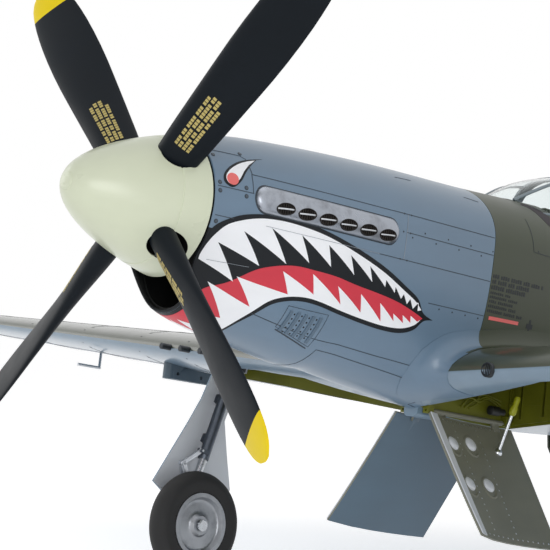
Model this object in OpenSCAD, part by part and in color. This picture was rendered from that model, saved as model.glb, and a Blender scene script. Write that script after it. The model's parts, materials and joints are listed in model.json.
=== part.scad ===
// Radio-controlled scale model of a single-seat low-wing fighter, parked on its wheels.
// Millimetres. The nose points to -Y, the port wing to +X, up is +Z.
// Every piece is drawn with the thrust line level: stations run aft from the back of the
// spinner, heights are measured from the thrust line. parked() then sets it on its wheels.

/* [Stance and fits] */
// Nose-up angle of the thrust line when parked
park_angle = 10.5; // [8:0.5:12]
// Radial clearance of a pin in its bearing
pin_clear = 0.05; // [0.03:0.01:0.09]
// Gap left in a glued or bolted joint
seat_gap = 0.05; // [0.03:0.01:0.1]
// Gap around a moving surface
hinge_gap = 1.2; // [1:0.1:1.6]

/* [Propeller] */
// Diameter of the spinner's back edge
spinner_d = 112; // [108:1:116]
// Length of the spinner
spinner_len = 97; // [90:1:105]
// Distance of the spinner's split line ahead of its back edge
spinner_seam = 24; // [22:1:27]
// Wall of the spinner
spinner_wall = 2; // [1.5:0.1:3]
// Propeller diameter
prop_d = 512; // [460:4:520]
// Widest part of a blade
blade_w = 47; // [40:1:50]
// Angle of the first blade above the port side
prop_rest = 42; // [0:1:89]

/* [Fuselage] */
// Station of the engine cowl's rear edge
cowl_len = 305; // [300:1:310]
// Wall of the moulded skins
skin = 2.4; // [2:0.1:3]
// Widest part of the fuselage
fus_w = 136; // [132:1:140]
// Travel of the sliding canopy
canopy_travel = 120; // [80:5:130]

/* [Wing] */
// Wing span
span = 1700; // [1660:5:1740]
// Chord at the tip
tip_chord = 191; // [180:1:205]
// Thickness at the root, percent of the chord
root_t = 15; // [14.5:0.1:15.5]
// Thickness at the tip, percent of the chord
tip_t = 11.5; // [11:0.1:12.5]
// Dihedral angle
dihedral = 5; // [4.5:0.1:5.5]
// Radius of the wing joiner tube
spar_r = 6; // [5:0.5:7]

/* [Undercarriage] */
// Distance between the main wheels
track = 544; // [538:1:550]
// Main tyre diameter
wheel_d = 103; // [96:1:104]
// Main tyre width
tyre_w = 24; // [22:1:25]
// Station of the main wheels when down
wheel_y = 292; // [288:1:298]
// Depth of the main axles below the thrust line
wheel_drop = 240; // [236:1:244]
// Main axle diameter
axle_d = 6; // [5:0.5:7]
// Travel of a shock leg
oleo_travel = 8; // [6:0.5:9]
// Tail tyre diameter
tail_d = 48; // [44:1:50]

/* [Hidden] */
$fn = 48;

// Blends table column c at station y with a smooth curve through the rows
function row(t, y) = max([for (k = [0:len(t) - 2]) if (k == 0 || t[k][0] <= y) k]);
function slope(t, c, k) = k == 0 ? (t[1][c] - t[0][c]) / (t[1][0] - t[0][0])
  : k == len(t) - 1 ? (t[k][c] - t[k - 1][c]) / (t[k][0] - t[k - 1][0])
  : (t[k + 1][c] - t[k - 1][c]) / (t[k + 1][0] - t[k - 1][0]);
function herm(a, b, ma, mb, d, u) = a * (2 * u ^ 3 - 3 * u ^ 2 + 1) + ma * d * (u ^ 3 - 2 * u ^ 2 + u)
  + b * (3 * u ^ 2 - 2 * u ^ 3) + mb * d * (u ^ 3 - u ^ 2);
function lut(t, c, y) = let (k = row(t, y), d = t[k + 1][0] - t[k][0], u = (y - t[k][0]) / d)
  herm(t[k][c], t[k + 1][c], slope(t, c, k), slope(t, c, k + 1), d, u);
function unit(v) = v / norm(v);
function mix(a, b, u) = a + (b - a) * u;

// Skins a row of equal rings, each going the same way round
function ring_sum(r, j) = j == len(r) ? [0, 0, 0] : r[j] + ring_sum(r, j + 1);
function ring_area(r, j) = j >= len(r) - 1 ? [0, 0, 0]
  : cross(r[j] - r[0], r[j + 1] - r[0]) + ring_area(r, j + 1);
module loft(rings) {
  n = len(rings[0]);
  m = len(rings);
  turned = ring_area(rings[0], 1) * (ring_sum(rings[m - 1], 0) - ring_sum(rings[0], 0)) > 0;
  rr = turned ? [for (r = rings) [for (j = [n - 1:-1:0]) r[j]]] : rings;
  polyhedron(points = [for (r = rr) each r], faces = concat([[for (j = [n - 1:-1:0]) j]],
    [for (i = [0:m - 2], j = [0:n - 1]) [i * n + j, i * n + (j + 1) % n, (i + 1) * n + (j + 1) % n]],
    [for (i = [0:m - 2], j = [0:n - 1]) [i * n + j, (i + 1) * n + (j + 1) % n, (i + 1) * n + j]],
    [[for (j = [0:n - 1]) (m - 1) * n + j]]), convexity = 6);
}

// Makes a moulded skin piece as one mesh
module moulded() {
  resize([0, 0, 0]) children();
}

module both_sides() {
  children();
  mirror([1, 0, 0]) children();
}

// Places children with their own axes along the given directions
module on_axes(p, ex, ey, ez) {
  multmatrix([[ex[0], ey[0], ez[0], p[0]], [ex[1], ey[1], ez[1], p[1]],
    [ex[2], ey[2], ez[2], p[2]], [0, 0, 0, 1]]) children();
}

// A round bar between two points
module bar(a, b, r) {
  d = b - a;
  az = unit(d);
  ax = unit(cross(abs(az[2]) < 0.9 ? [0, 0, 1] : [1, 0, 0], az));
  on_axes(a, ax, cross(az, ax), az) cylinder(r = r, h = norm(d));
}

// Fuselage: station, half width, height of the widest line, top, bottom, upper and lower roundness
nose_r = spinner_d / 2 + 1;
fk = fus_w / 136;
fus = [[2, nose_r, 0, nose_r, -nose_r, 2, 2], [25, 59.5, 2, 61.5, -66, 2, 2],
  [55, 62, 5, 66, -82, 2, 2], [105, 64.5 * fk, 10, 70.5, -97, 2, 2.1],
  [160, 66 * fk, 15, 74.5, -105, 2, 2.2], [215, 67 * fk, 20, 77.5, -112, 2, 2.2],
  [300, 67.7 * fk, 24, 81, -121, 2, 2.2], [375, 68 * fk, 24, 84, -123, 2, 2.2],
  [450, 68 * fk, 23, 86, -123, 2, 2.2], [600, 66.5 * fk, 18, 85, -121, 2, 2.2],
  [700, 62 * fk, 14, 83, -116, 2, 2.2], [800, 56 * fk, 11, 78, -106, 2, 2.1],
  [900, 48 * fk, 9, 72, -92, 2, 2], [1000, 39 * fk, 9, 65, -73, 2, 2],
  [1100, 29 * fk, 10, 58, -49, 2, 2], [1212, 15 * fk, 14, 48, -16, 2, 2]];
tail_post = 1212;
// Chin intake: station, height of its centre, half width, half height
chin = [[2, -40, 36, 40], [25, -41, 40, 46], [55, -43, 44, 50], [105, -45, 47, 52.5],
  [150, -47, 46, 52], [200, -40, 30, 30], [1212, 10, 3, 3]];
fus_n = 28;
// Gap between two curved skins that are glued together
skin_gap = seat_gap + 0.12;

function egg(y, c, s) = let (w = lut(fus, 1, y), z0 = lut(fus, 2, y),
  h = s > 0 ? lut(fus, 3, y) - z0 : z0 - lut(fus, 4, y), n = s > 0 ? lut(fus, 5, y) : lut(fus, 6, y))
  (abs(c / w) ^ n + abs(s / h) ^ n) ^ (-1 / n);
function chin_r(y, c, s) = y > 190 ? 0 : let (d = lut(chin, 1, y) - lut(fus, 2, y), a = lut(chin, 2, y),
  b = lut(chin, 3, y), qa = (c / a) ^ 2 + (s / b) ^ 2, qb = s * d / b ^ 2, qc = (d / b) ^ 2 - 1,
  q = qb ^ 2 - qa * qc) s >= 0 || q <= 0 ? 0 : (qb + sqrt(q)) / qa;
function soft_max(a, b, k) = max(a, b) + max(k - abs(a - b), 0) ^ 2 / (4 * k);
function fus_r(y, c, s) = soft_max(egg(y, c, s), chin_r(y, c, s), 8);
function fus_ring(y, off, at) = [for (j = [0:fus_n - 1])
  let (a = -j * 360 / fus_n, r = fus_r(y, cos(a), sin(a)) + off)
  [r * cos(a), at, lut(fus, 2, y) + r * sin(a)]];
module fus_solid(ys, off) {
  loft([for (y = ys) fus_ring(y, off, y)]);
}
// The part of the fuselage between two stations, grown by a gap
module body_between(a, b, off) {
  fus_solid([for (y = body_ys) if (y > a && y < b) y], off);
}

// Stations shared by the skins and the bulkheads that sit in them
motor_y = 66;
rear_y = cowl_len - 8;
wall_t = 4;
nose_ys = [2, 4, 8, 16, 30, 48, motor_y, motor_y + wall_t, 95, 125, 160, 200, 245, rear_y,
  rear_y + wall_t, cowl_len];
body_ys = [cowl_len, 375, 450, 525, 600, 660, 720, 780, 840, 900, 960, 1020, 1075, 1095, 1140,
  tail_post];
nose_in_ys = [8, 25, motor_y, motor_y + wall_t, 125, 200, rear_y, rear_y + wall_t, cowl_len];
body_in_ys = [375, 525, 660, 840, 960, 1075, 1095, 1170, 1204];

// Wing, drawn for the port side
half = span / 2;
wing_z = -97;
bay_front = 292;
kink_x = 234;
kink_y = 306;
root_x = 62;
le_slope = tan(3.58);
root_ext = 40;
te_root = 689;
camber = 0.015;
washin = tan(1);
tip_len = 44;
function le_line(x) = kink_y + (x - kink_x) * le_slope - max(0, kink_x - x) * root_ext / kink_x;
te_tip = le_line(half) + tip_chord;
function te_line(x) = mix(te_root, te_tip, x / half);
function tip_k(x) = x < half - tip_len ? 1 : sqrt(max(0.01, 1 - ((x - half + tip_len) / tip_len) ^ 2));
function le_y(x) = le_line(x) + 0.26 * tip_chord * (1 - tip_k(x));
function te_y(x) = te_line(x) - 0.22 * tip_chord * (1 - tip_k(x));
function chord(x) = te_y(x) - le_y(x);
function wing_t(x) = mix(root_t, tip_t, x / half) / 100;
function af_t(f) = 5 * (0.2969 * sqrt(f) - 0.126 * f - 0.3516 * f ^ 2 + 0.2843 * f ^ 3 - 0.1036 * f ^ 4);
function af_c(f) = 4 * camber * f * (1 - f);
function mid_z(x, f) = wing_z + x * tan(dihedral) + chord(x) * (af_c(f) - f * washin);
function half_t(x, f) = chord(x) * wing_t(x) * af_t(f) * tip_k(x) + 0.5 * f;
function frac(x, y) = max(0, min(1, (y - le_y(x)) / chord(x)));
function top_z(x, y) = let (f = frac(x, y)) mid_z(x, f) + half_t(x, f);
function low_z(x, y) = let (f = frac(x, y)) mid_z(x, f) - half_t(x, f);
af_n = 9;
af_f = [for (k = [0:af_n]) (1 - cos(180 * k / af_n)) / 2];
function wing_ring(x, g) = concat(
  [for (k = [0:af_n]) [x, le_y(x) + af_f[k] * chord(x) - (k == 0 ? g : 0) + (k == af_n ? g : 0),
    mid_z(x, af_f[k]) + half_t(x, af_f[k]) + (k == 0 ? 0 : g)]],
  [for (k = [af_n:-1:1]) [x, le_y(x) + af_f[k] * chord(x) + (k == af_n ? g : 0),
    mid_z(x, af_f[k]) - half_t(x, af_f[k]) - g]]);
wing_xs = [seat_gap, root_x, 150, kink_x, 340, 480, 640, half - tip_len, half - 26, half - 14,
  half - 5, half];
// Height of the flat facet of the lower skin behind the nose of the section
function low_facet(x, y) = let (v = [for (k = [1, 2]) mid_z(x, af_f[k]) - half_t(x, af_f[k])])
  mix(v[0], v[1], (frac(x, y) - af_f[1]) / (af_f[2] - af_f[1]));
// Space the wing takes out of the fuselage, open below
module wing_saddle(front = bay_front) {
  loft([for (x = [-80, -root_x, -0.01, 0.01, root_x, 80])
    let (a = abs(x), g = skin_gap, nose = min(front - 0.2, le_y(a) + af_f[1] * chord(a)))
    concat([for (k = [0:af_n]) [x, le_y(a) + af_f[k] * chord(a) + (k == 0 ? -g : k == af_n ? g : 0),
      mid_z(a, af_f[k]) + half_t(a, af_f[k]) + (k == 0 ? 0 : g)]],
    [[x, te_y(a) + g, -150], [x, front, -150]],
    [[x, front - 0.1, low_facet(a, front) - g], [x, nose, low_facet(a, nose) - g]])]);
}

// Control surface hinge line of the wing
ail_x = [0.48 * half, half - 87];
flap_x = [72, ail_x[0] - 36];
end_gap = 0.8;
pin_r = 1.5;
function hinge_y(x) = te_line(x) - mix(86, 46, x / 850);
function wmid(x) = (top_z(x, hinge_y(x)) + low_z(x, hinge_y(x))) / 2;
function whalf(x) = (top_z(x, hinge_y(x)) - low_z(x, hinge_y(x))) / 2;
function hinge_z(x) = mix(wmid(flap_x[0]), wmid(ail_x[1]), (x - flap_x[0]) / (ail_x[1] - flap_x[0]));
function hinge_r(x) = mix(whalf(flap_x[0]), whalf(ail_x[1]), (x - flap_x[0]) / (ail_x[1] - flap_x[0])) - 0.3;
function hinge_p(x) = [x, hinge_y(x), hinge_z(x)];
hinge_ex = unit(hinge_p(500) - hinge_p(100));
hinge_ey = unit(cross([0, 0, 1], hinge_ex));
hinge_ez = cross(hinge_ex, hinge_ey);
module at_hinge(x) {
  on_axes(hinge_p(x), hinge_ex, hinge_ey, hinge_ez) children();
}
// A point beside the hinge line at x, in the plane square to the line
function off_hinge(x, dy, dz) = hinge_p(x)
  + [-(dy * hinge_ex[1] + dz * hinge_ex[2]) / hinge_ex[0], dy, dz];
function surf_ring(x) = let (r = hinge_r(x), y = hinge_y(x), t = te_line(x) - 0.5 - y)
  let (xt = off_hinge(x, t, 0)[0], dt = te_line(xt) - 0.5 - y, zt = mid_z(xt, 1) - hinge_z(x))
  concat([for (a = [90:15:270]) off_hinge(x, r * cos(a), r * sin(a))],
  [off_hinge(x, dt, zt - 0.5), off_hinge(x, dt, zt + 0.5)]);
function cove_ring(x, low) = let (r = hinge_r(x) + hinge_gap, t = te_line(x) + 30 - hinge_y(x))
  concat([off_hinge(x, r * cos(107), 40)],
  [for (a = [107:14.6:180]) off_hinge(x, r * cos(a), r * sin(a))],
  [for (a = [194.6:14.6:253]) off_hinge(x, low ? -r : r * cos(a), r * sin(a))],
  [off_hinge(x, low ? -r : r * cos(253), -40), off_hinge(x, t, -40), off_hinge(x, t, 40)]);
module wing_surface(xs) {
  union() {
    loft([for (x = [xs[1], xs[0]]) surf_ring(x)]);
    bar(hinge_p(xs[0] - 10), hinge_p(xs[0] + 4), pin_r);
    bar(hinge_p(xs[1] - 4), hinge_p(xs[1] + 7), pin_r);
  }
}
servo_h = 12;
servo_w = 22;
flap_servo = [flap_x[0] - end_gap - 29, flap_x[0] - end_gap];
ail_servo = [flap_x[1] + end_gap, ail_x[0] - end_gap + 0.3];
tip_block = [ail_x[1] + end_gap, ail_x[1] + end_gap + 9];
module servo_body(xs, h, w, g) {
  at_hinge(xs[0]) translate([-g, -w / 2 - g, -h / 2 - g])
    cube([(xs[1] - xs[0]) / hinge_ex[0] + 2 * g, w + 2 * g, h + 2 * g]);
}

// Main leg: pivot, axle and the folded position
wheel_r = wheel_d / 2;
leg_off = tyre_w / 2 + 7.5;
leg_x = track / 2 + leg_off;
pivot = [leg_x, 340, wing_z + leg_x * tan(dihedral) - 4.503];
axle_p = [leg_x, wheel_y, -wheel_drop];
leg_len = norm(axle_p - pivot);
u0 = (axle_p - pivot) / leg_len;
e0 = [1, 0, 0];
n0 = cross(u0, e0);
u1 = unit([-0.975, 0.07, -0.14]);
e1 = unit(cross(u1, unit(cross([0.15, 0.1, -1], u1))));
n1 = cross(u1, e1);
// Turn that folds the leg, as axis and angle
fold = [for (i = [0:2]) [for (j = [0:2]) u1[i] * u0[j] + e1[i] * e0[j] + n1[i] * n0[j]]];
fold_axis = unit([fold[2][1] - fold[1][2], fold[0][2] - fold[2][0], fold[1][0] - fold[0][1]]);
fold_deg = acos((fold[0][0] + fold[1][1] + fold[2][2] - 1) / 2);
strut_r = 5.5;
piston_r = 4;
// Frame at the leg pivot: y along the pivot pin, z up the leg
leg_ey = unit(fold_axis);
leg_ex = unit(cross(leg_ey, -u0));
leg_ez = cross(leg_ex, leg_ey);
module at_pivot() {
  on_axes(pivot, leg_ex, leg_ey, leg_ez) children();
}
trunnion_r = 3;
cheek = [7.8, 10.8];

// Wheel bay between the front skin and the spar
bay_x = [10, leg_x + 20];
// Where the bay narrows from the wheel to the leg
fold_x = leg_x - 106.5;
leg_door_x = [leg_x - 150.5, leg_x - 12];
bay_y1 = 410;
bay_roof = 2.5;
function bay_y0(x) = max(bay_front + 1, le_y(x) + 9);
function bay_back(x) = mix(bay_y1, 368, max(0, min(1, (x - fold_x) / 55)));
bay_xs = [bay_x[1], fold_x + 55, fold_x, fold_x - 45, root_x, bay_x[0]];
function bay_ring(x, g, z1) = let (a = bay_y0(x) - g, b = bay_back(x) + g)
  concat([for (k = [0:5]) let (y = mix(a, b, k / 5)) [x, y, top_z(x, y) - bay_roof + g]],
  [[x, b, z1], [x, a, z1]]);
module bay_cut() {
  loft([for (x = bay_xs) bay_ring(x, 0, -180)]);
}
// Inner bay door, drawn shut and then swung open
door_x = [bay_x[0] + 1, leg_door_x[0] - 2];
door_hinge = [13.5, 0, low_z(13.5, 345) + 3];
door_open = 64;
function door_pt(x, u, z) = let (y = mix(bay_y0(x) + 1.5, bay_back(x) - 2, u)) [x, y, low_z(x, y) + z];
function door_ring(x, t) = concat([for (k = [0:5]) door_pt(x, k / 5, t)],
  [for (k = [5:-1:0]) door_pt(x, k / 5, 0.2)]);
door_pin = [300, 402];

// Tail surfaces
tail_z = 34;
stab_half = 303;
elev_y = 1199;
elev_x = [30, 284];
function stab_le(x) = mix(1078, 1148, x / stab_half) + 30 * max(0, (x - 270) / 33) ^ 2;
function stab_te(x) = mix(1266, 1250, x / stab_half) - 26 * max(0, (x - 270) / 33) ^ 2;
function stab_k(x) = 1 - 0.75 * max(0, (x - 270) / 33) ^ 2;
function stab_t(x, f) = (stab_te(x) - stab_le(x)) * 0.1 * stab_k(x) * af_t(f) + 0.5 * f;
stab_n = 7;
stab_f = [for (k = [0:stab_n]) (1 - cos(180 * k / stab_n)) / 2];
function stab_ring(x, g) = let (a = abs(x), c = stab_te(a) - stab_le(a)) concat(
  [for (k = [0:stab_n]) [x, stab_le(a) + stab_f[k] * c - (k == 0 ? g : 0),
    tail_z + stab_t(a, stab_f[k]) + (k == 0 ? 0 : g)]],
  [for (k = [stab_n:-1:1]) [x, stab_le(a) + stab_f[k] * c, tail_z - stab_t(a, stab_f[k]) - g]]);
stab_xs = [-303, -297, -287, -270, -0.01, 0.01, 270, 287, 297, 303];
function elev_r(x) = stab_t(x, (elev_y - stab_le(x)) / (stab_te(x) - stab_le(x))) - 0.2;
function elev_ring(x) = let (a = abs(x), r = elev_r(a), t = stab_te(a)) concat(
  [for (b = [90:15:270]) [x, elev_y + r * cos(b), tail_z + r * sin(b)]],
  [[x, t, tail_z - 0.5], [x, t, tail_z + 0.5]]);
function elev_cove(x) = let (r = elev_r(abs(x)) + hinge_gap, t = stab_te(abs(x)) + 30) concat(
  [[x, elev_y + r * cos(107), tail_z + 30]],
  [for (a = [107:14.6:253]) [x, elev_y + r * cos(a), tail_z + r * sin(a)]],
  [[x, elev_y + r * cos(253), tail_z - 30], [x, t, tail_z - 30], [x, t, tail_z + 30]]);
tube_r = 3;

rud_y = 1225;
rud_z = [-8, 262];
fin_top = 280;
function fin_le(z) = mix(1088, 1160, (z - 50) / 230) - 105 * max(0, 1 - (z - 52) / 55) ^ 2
  + 24 * max(0, (z - 262) / 18) ^ 2;
function rud_te(z) = 1378 - 0.12 * max(0, z - 30) - 0.0009 * max(0, z - 60) ^ 2 - 0.02 * max(0, 20 - z) ^ 2;
function rud_r(z) = mix(9.5, 6, (z - rud_z[0]) / 270);
function fin_half(z, f) = (rud_r(z) + 0.3) * sin(min(90, 115 * f ^ 0.65));
function rud_ring(z) = let (r = rud_r(z), t = rud_te(z)) concat(
  [for (b = [90:15:270]) [r * sin(b), rud_y + r * cos(b), z]], [[-0.5, t, z], [0.5, t, z]]);
fin_n = 6;
function fin_ring(z, aft) = let (l = fin_le(z)) concat(
  [for (k = [0:fin_n]) let (u = (k / fin_n) ^ 1.6) [fin_half(z, u), mix(l, aft, u), z]],
  [for (k = [fin_n:-1:1]) let (u = (k / fin_n) ^ 1.6) [-fin_half(z, u), mix(l, aft, u), z]]);

// Tail wheel
tail_r = tail_d / 2;
tail_y = 1108;
steer_y = 1085;
main_z = -wheel_drop;
tail_axle = main_z + (tail_y - wheel_y) * tan(park_angle) + (tail_r - wheel_r) / cos(park_angle);
tail_w = 14;

// Set on the wheels, with the middle of the length over the origin
lift = wheel_r + wheel_y * sin(park_angle) - main_z * cos(park_angle);
mid_y = 633.8;
module parked() {
  translate([0, -mid_y, lift]) rotate([-park_angle, 0, 0]) children();
}

// Spinner and propeller
spin_r = spinner_d / 2;
blade_y = -22.5;
hub_r = 20;
shank_r = 9;
shaft_r = 4;
nose_hole = 30;
// Blade: radius, chord, twist, thickness
blades = [[30, 34, 56, 15], [60, 40, 49.5, 12], [110, 45, 40.5, 8.5], [160, 47, 33.5, 6],
  [205, 44, 28.7, 4.5], [240, 34, 26, 3], [252, 22, 25.3, 2], [256, 9, 25, 1.6]];
blade_k = prop_d / 512;
blade_rs = [30, 60, 95, 135, 175, 210, 235, 248, 254, 256];
function blade_ring(r, g) = let (c = lut(blades, 1, r) * blade_w / 94 + g, t = lut(blades, 3, r) / 2 + g)
  let (b = lut(blades, 2, r)) [for (a = [0:36:359]) let (u = c * cos(a), v = t * sin(a) * (1 + 0.25 * cos(a)))
  [r * blade_k, -u * sin(b) - v * cos(b), u * cos(b) - v * sin(b)]];
module blade(g) {
  loft([for (r = g > 0 ? [30, 60, 95] : blade_rs) blade_ring(r, g)]);
}
module each_blade() {
  for (k = [0:3]) translate([0, blade_y, 0]) rotate([0, -prop_rest - 90 * k, 0]) children();
}

// Exhaust row
stack_y = [for (k = [0:5]) 74 + 22 * k];
stack_z = 8;
module stack_oval(k) {
  translate([30, stack_y[k], stack_z]) rotate([0, 90, -18]) scale([0.62, 1, 1])
    cylinder(r = 8.5, h = 60, $fn = 8);
}
module shroud_slab() {
  hull() {
    translate([0, 60, 11]) rotate([0, 90, 0]) cylinder(r = 9, h = 100, $fn = 16);
    translate([0, 184, 10]) rotate([0, 90, 0]) cylinder(r = 9, h = 100, $fn = 16);
  }
}

// Cockpit opening and glazing
cock_x = 46;
cock_y = [404, 676];
glass_t = 1.4;
canopy_gap = 0.6;
bow_y = 452;
glaze_end = 786;
glz = [[368, 78, 34], [395, 103, 44], [425, 124, 49], [452, 136, 52], [500, 146, 55], [550, 147, 56],
  [620, 139, 54], [690, 122, 47], [750, 102, 34], [786, 88, 18]];
function glz_ring(y, off, z0) = let (h = lut(glz, 1, y) + off, w = lut(glz, 2, y) + off, b = z0)
  concat([for (a = [0:18:180]) [w * abs(cos(a)) ^ 0.8 * sign(cos(a)), y, 40 + (h - 40) * sin(a) ^ 0.85]],
  [[-w, y, b], [w, y, b]]);
module glz_solid(ys, off) {
  loft([for (y = [for (k = [len(ys) - 1:-1:0]) ys[k]]) glz_ring(y, off, 30)]);
}
module glz_shell(ys, out, inn) {
  difference() {
    glz_solid(ys, out);
    glz_solid(concat([ys[0] - 1], [for (k = [1:len(ys) - 2]) ys[k]], [ys[len(ys) - 1] + 1]), inn);
  }
}
screen_ys = [372, 392, 420, bow_y];
hood_ys = [bow_y + 0.8, 485, 540, 605, 670, 725, 762, glaze_end - 2];

// Radiator duct under the wing
scoop = [[530, 44, -121, -147], [560, 47, -121, -150], [620, 49, -120, -153], [700, 50, -118, -152],
  [780, 46, -112, -145], [850, 38, -104, -131], [905, 30, -96, -115]];
function scoop_ring(y, off) = let (w = lut(scoop, 1, y) - off, b = lut(scoop, 3, y) + off, t = -70)
  concat([for (a = [0:-18:-180]) [w * sign(cos(a)) * abs(cos(a)) ^ 0.7, y,
    -118 + (b + 118) * abs(sin(a)) ^ 0.75]],
  [[-w, y, t], [w, y, t]]);

module cowl() color([0.45, 0.52, 0.58]) moulded() difference() {
  fus_solid(nose_ys, 0);
  loft(concat([for (y = nose_in_ys) fus_ring(y, -skin, y)], [fus_ring(cowl_len, -skin, cowl_len + 1)]));
  translate([0, -1, 0]) rotate([-90, 0, 0]) cylinder(r = nose_hole, h = 20, $fn = 32);
  translate([0, -1, -62]) rotate([-90, 0, 0]) linear_extrude(14) scale([1, 0.4]) circle(r = 27, $fn = 24);
  wing_saddle();
}

module fuselage() color([0.33, 0.34, 0.28]) moulded() difference() {
  fus_solid(body_ys, 0);
  loft(concat([fus_ring(cowl_len, -skin, cowl_len - 1)], [for (y = body_in_ys) fus_ring(y, -skin, y)]));
  translate([-cock_x, cock_y[0], 12]) cube([2 * cock_x, cock_y[1] - cock_y[0], 120]);
  wing_saddle(min(bay_front, cowl_len - 1));
  translate([-15, 1070, -90]) cube([30, 74, 62]);
  loft([for (x = stab_xs) stab_ring(x, seat_gap)]);
  translate([-40, elev_y - 11, tail_z - 8]) cube([80, 21, 16]);
}

module bulkheads() color([0.72, 0.6, 0.42]) moulded() difference() {
  union() {
    fus_solid([motor_y, motor_y + wall_t], -skin - seat_gap);
    fus_solid([rear_y, rear_y + wall_t], -skin - seat_gap);
  }
  translate([0, motor_y - 1, 0]) rotate([-90, 0, 0]) cylinder(r = shaft_r + 3, h = wall_t + 2, $fn = 16);
  for (a = [45:90:359]) rotate([0, a, 0]) translate([46, motor_y - 1, 0]) rotate([-90, 0, 0])
    cylinder(r = 6, h = wall_t + 2, $fn = 12);
  translate([-25, rear_y - 1, -28]) cube([50, wall_t + 2, 70]);
  wing_saddle();
}

tray_z = -36;
module battery_tray() color([0.75, 0.63, 0.45])
  translate([-28, motor_y + wall_t + seat_gap, tray_z])
    cube([56, rear_y - motor_y - wall_t - 2 * seat_gap, 3]);

module on_tray(y, s) {
  translate([-s[0] / 2, y, tray_z + 3 + seat_gap]) cube(s);
}
module electronics() color([0.12, 0.13, 0.16]) {
  on_tray(76, [34, 30, 16]);
  on_tray(258, [30, 34, 14]);
}
module battery() color([0.15, 0.25, 0.5]) on_tray(112, [46, 140, 46]);

module motor_stator() color([0.35, 0.35, 0.37]) difference() {
  union() {
    translate([0, 24, 0]) rotate([-90, 0, 0]) cylinder(r = 19, h = 36);
    translate([0, 58.8, 0]) rotate([-90, 0, 0]) cylinder(r = 25, h = motor_y - seat_gap - 58.8);
  }
  translate([0, 20, 0]) rotate([-90, 0, 0]) cylinder(r = shaft_r + pin_clear, h = 60);
}

module motor_bell() color([0.2, 0.2, 0.22]) difference() {
  translate([0, 17, 0]) rotate([-90, 0, 0]) cylinder(r = 26, h = 39);
  translate([0, 21, 0]) rotate([-90, 0, 0]) cylinder(r = 20.5, h = 40);
  translate([0, 10, 0]) rotate([-90, 0, 0]) cylinder(r = shaft_r + seat_gap, h = 60);
}

module prop_shaft() color([0.7, 0.7, 0.72]) union() {
  translate([0, -40, 0]) rotate([-90, 0, 0]) cylinder(r = shaft_r, h = 100);
  difference() {
    translate([0, blade_y - 12, 0]) rotate([-90, 0, 0]) cylinder(r = hub_r + 4, h = 24);
    each_blade() translate([13, 0, 0]) rotate([0, 90, 0]) cylinder(r = shank_r + seat_gap, h = 40);
  }
}

module propeller_blades() color([0.1, 0.11, 0.14]) each_blade() union() {
  blade(0);
  translate([13 + seat_gap, 0, 0]) rotate([0, 90, 0]) cylinder(r = shank_r, h = 24);
}

function spin_at(s) = spin_r * sqrt(max(0, 1 - (s / spinner_len) ^ 1.1));
spin_in_len = spinner_len - 2.5 * spinner_wall;
function spin_in(s) = (spin_r - spinner_wall) * sqrt(max(0, 1 - (s / spin_in_len) ^ 1.1));

module spinner_cone() color([0.8, 0.85, 0.68]) difference() {
  s0 = spinner_seam + seat_gap;
  rotate([90, 0, 0]) rotate_extrude() polygon(concat(
    [for (k = [0:12]) let (s = mix(s0, spinner_len, sin(7.5 * k))) [spin_at(s), s]],
    [for (k = [12:-1:0]) let (s = mix(s0, spin_in_len, sin(7.5 * k))) [spin_in(s), s]]));
  each_blade() blade(1.6);
}

module spinner_backplate() color([0.8, 0.85, 0.68]) difference() {
  rotate([90, 0, 0]) rotate_extrude() polygon(concat([[shaft_r + seat_gap, 0]],
    [for (k = [0:4]) let (s = spinner_seam * k / 4) [spin_at(s), s]],
    [for (k = [4:-1:1]) let (s = mix(4, spinner_seam, (k - 1) / 3)) [spin_in(s), s]],
    [[shaft_r + seat_gap, 4]]));
  each_blade() blade(1.6);
}

exhaust_ys = [48, motor_y, motor_y + wall_t, 95, 125, 160, 200];
shroud_t = 3;
module exhaust_shrouds() color([0.55, 0.56, 0.57]) moulded() both_sides() difference() {
  intersection() {
    fus_solid(exhaust_ys, shroud_t);
    shroud_slab();
  }
  fus_solid(exhaust_ys, skin_gap);
}
module exhaust_stacks() color([0.22, 0.2, 0.2]) moulded() both_sides() difference() {
  intersection() {
    fus_solid(exhaust_ys, shroud_t + 4);
    for (k = [0:5]) stack_oval(k);
  }
  fus_solid(exhaust_ys, shroud_t + skin_gap);
}

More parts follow.
